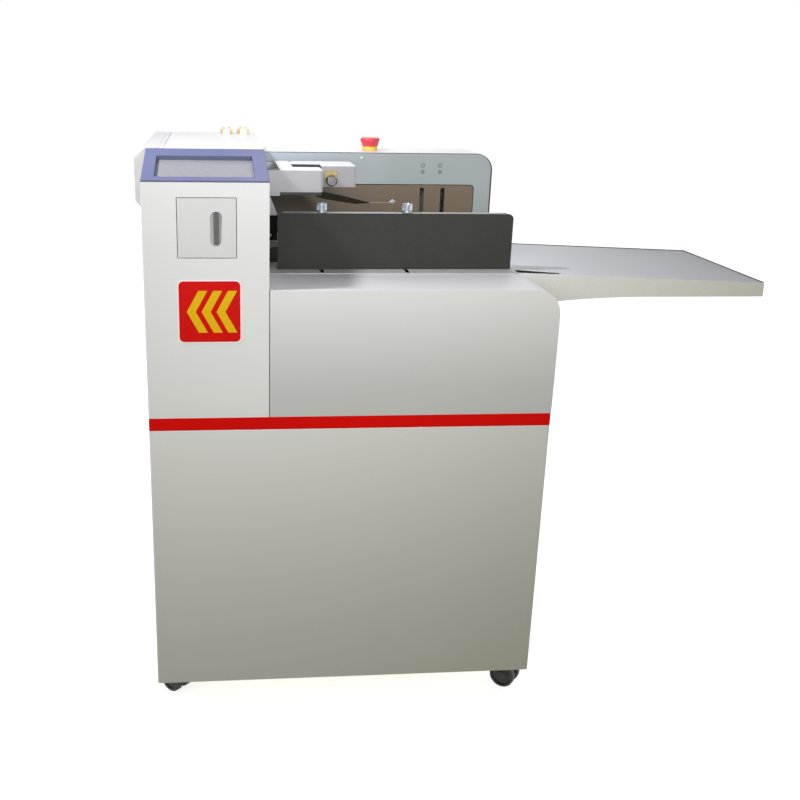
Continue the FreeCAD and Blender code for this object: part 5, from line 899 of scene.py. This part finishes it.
def studio_walls():
    """Dim soft light from all round; white where the camera or a reflection sees it."""
    world = bpy.data.worlds.new("studio_walls")
    bpy.context.scene.world = world
    world.use_nodes = True
    tree = world.node_tree
    tree.nodes.clear()
    # The light's own linear colours, warm from below and cool from above.
    below, above = (0.228, 0.23, 0.08, 1), (0.12, 0.12, 0.13, 1)
    height = add(tree, "SeparateXYZ", Vector=add(tree, "TexCoord")["Generated"])["Z"]
    share = add(tree, "MapRange", Value=height, From_Min=-0.25, From_Max=0.35)[0]
    tone = add(tree, "Mix", {"data_type": "RGBA"}, _0=share, _6=below, _7=above)[2]
    soft = add(tree, "Background", Color=tone, Strength=1.0)[0]
    white = add(tree, "Background", Color=(1, 1, 1, 1), Strength=1.0)[0]
    both = add(tree, "MixShader", _0=seen_directly(tree), _1=soft, _2=white)[0]
    add(tree, "OutputWorld", Surface=both)


def studio_floor():
    """Pale matt floor that is white to the camera, apart from the machine's shadow."""
    half_side, just_below = 14, -0.2 * MM
    # The floor glows least from the middle to the near distance, in metres, where shadow falls.
    near, far, dimmest = 0.75, 1.9, 0.8
    mesh = bmesh.new()
    bmesh.ops.create_grid(mesh, x_segments=1, y_segments=1, size=half_side)
    data = bpy.data.meshes.new("studio_floor")
    mesh.to_mesh(data)
    mesh.free()
    thing = bpy.data.objects.new("studio_floor", data)
    thing.location.z = just_below
    bpy.context.scene.collection.objects.link(thing)
    material, tree, place = new_finish("pale_studio_floor")
    away = add(tree, "VectorMath", {"operation": "LENGTH"}, _0=place)["Value"]
    glow = add(tree, "MapRange", Value=away, From_Min=near, From_Max=far, To_Min=dimmest)[0]
    lit = add(tree, "Math", {"operation": "MULTIPLY"}, _0=glow, _1=seen_directly(tree))[0]
    grain = add(tree, "TexNoise", Vector=place, Scale=1000 / ORANGE_PEEL, Detail=2.0)["Fac"]
    pale, paler = linear("#f0f0f0"), linear("#f4f4f4")
    tone = add(tree, "Mix", {"data_type": "RGBA"}, _0=grain, _6=paler, _7=pale)[2]
    matt = add(tree, "BsdfDiffuse", Color=tone)[0]
    white = add(tree, "Emission", Color=(1, 1, 1, 1), Strength=lit)[0]
    add(tree, "OutputMaterial", Surface=add(tree, "AddShader", _0=matt, _1=white)[0])
    data.materials.append(material)
    thing.visible_diffuse = False


camera()
studio_walls()
studio_floor()
# Where each lamp is and points, in metres; its width, height and watts.
softbox("key", (-1.08, -0.42, 1.85), (-0.2, -0.2, 0.85), 0.12, 0.12, 13.8, colour="#fbfbff")
softbox(
    "front_left", (-0.45, -1.45, 1.05), (-0.42, -0.32, 1.05), 0.7, 0.4, 3.3, 122, colour="#f4f4ff"
)
softbox("front_right", (0.3, -1.5, 1.42), (0.1, -0.32, 1.26), 0.7, 0.4, 2.6, 90)
softbox("top", (-0.1, 0.75, 1.75), (-0.2, 0.3, 1.0), 0.6, 0.6, 4.2)
softbox("right_fill", (1.9, 0.25, 0.62), (0.15, 0.1, 0.5), 0.9, 0.6, 11, colour="#ebebff")
softbox("back_fill", (0.3, 2.0, 0.62), (-0.1, 0.3, 0.5), 0.9, 0.6, 12, colour="#ebebff")
softbox("left_fill", (-2.2, 0.5, 0.45), (-0.57, 0.1, 0.5), 0.9, 0.6, 6, colour="#e4e4ff")

bpy.context.scene.view_settings.view_transform = "Standard"
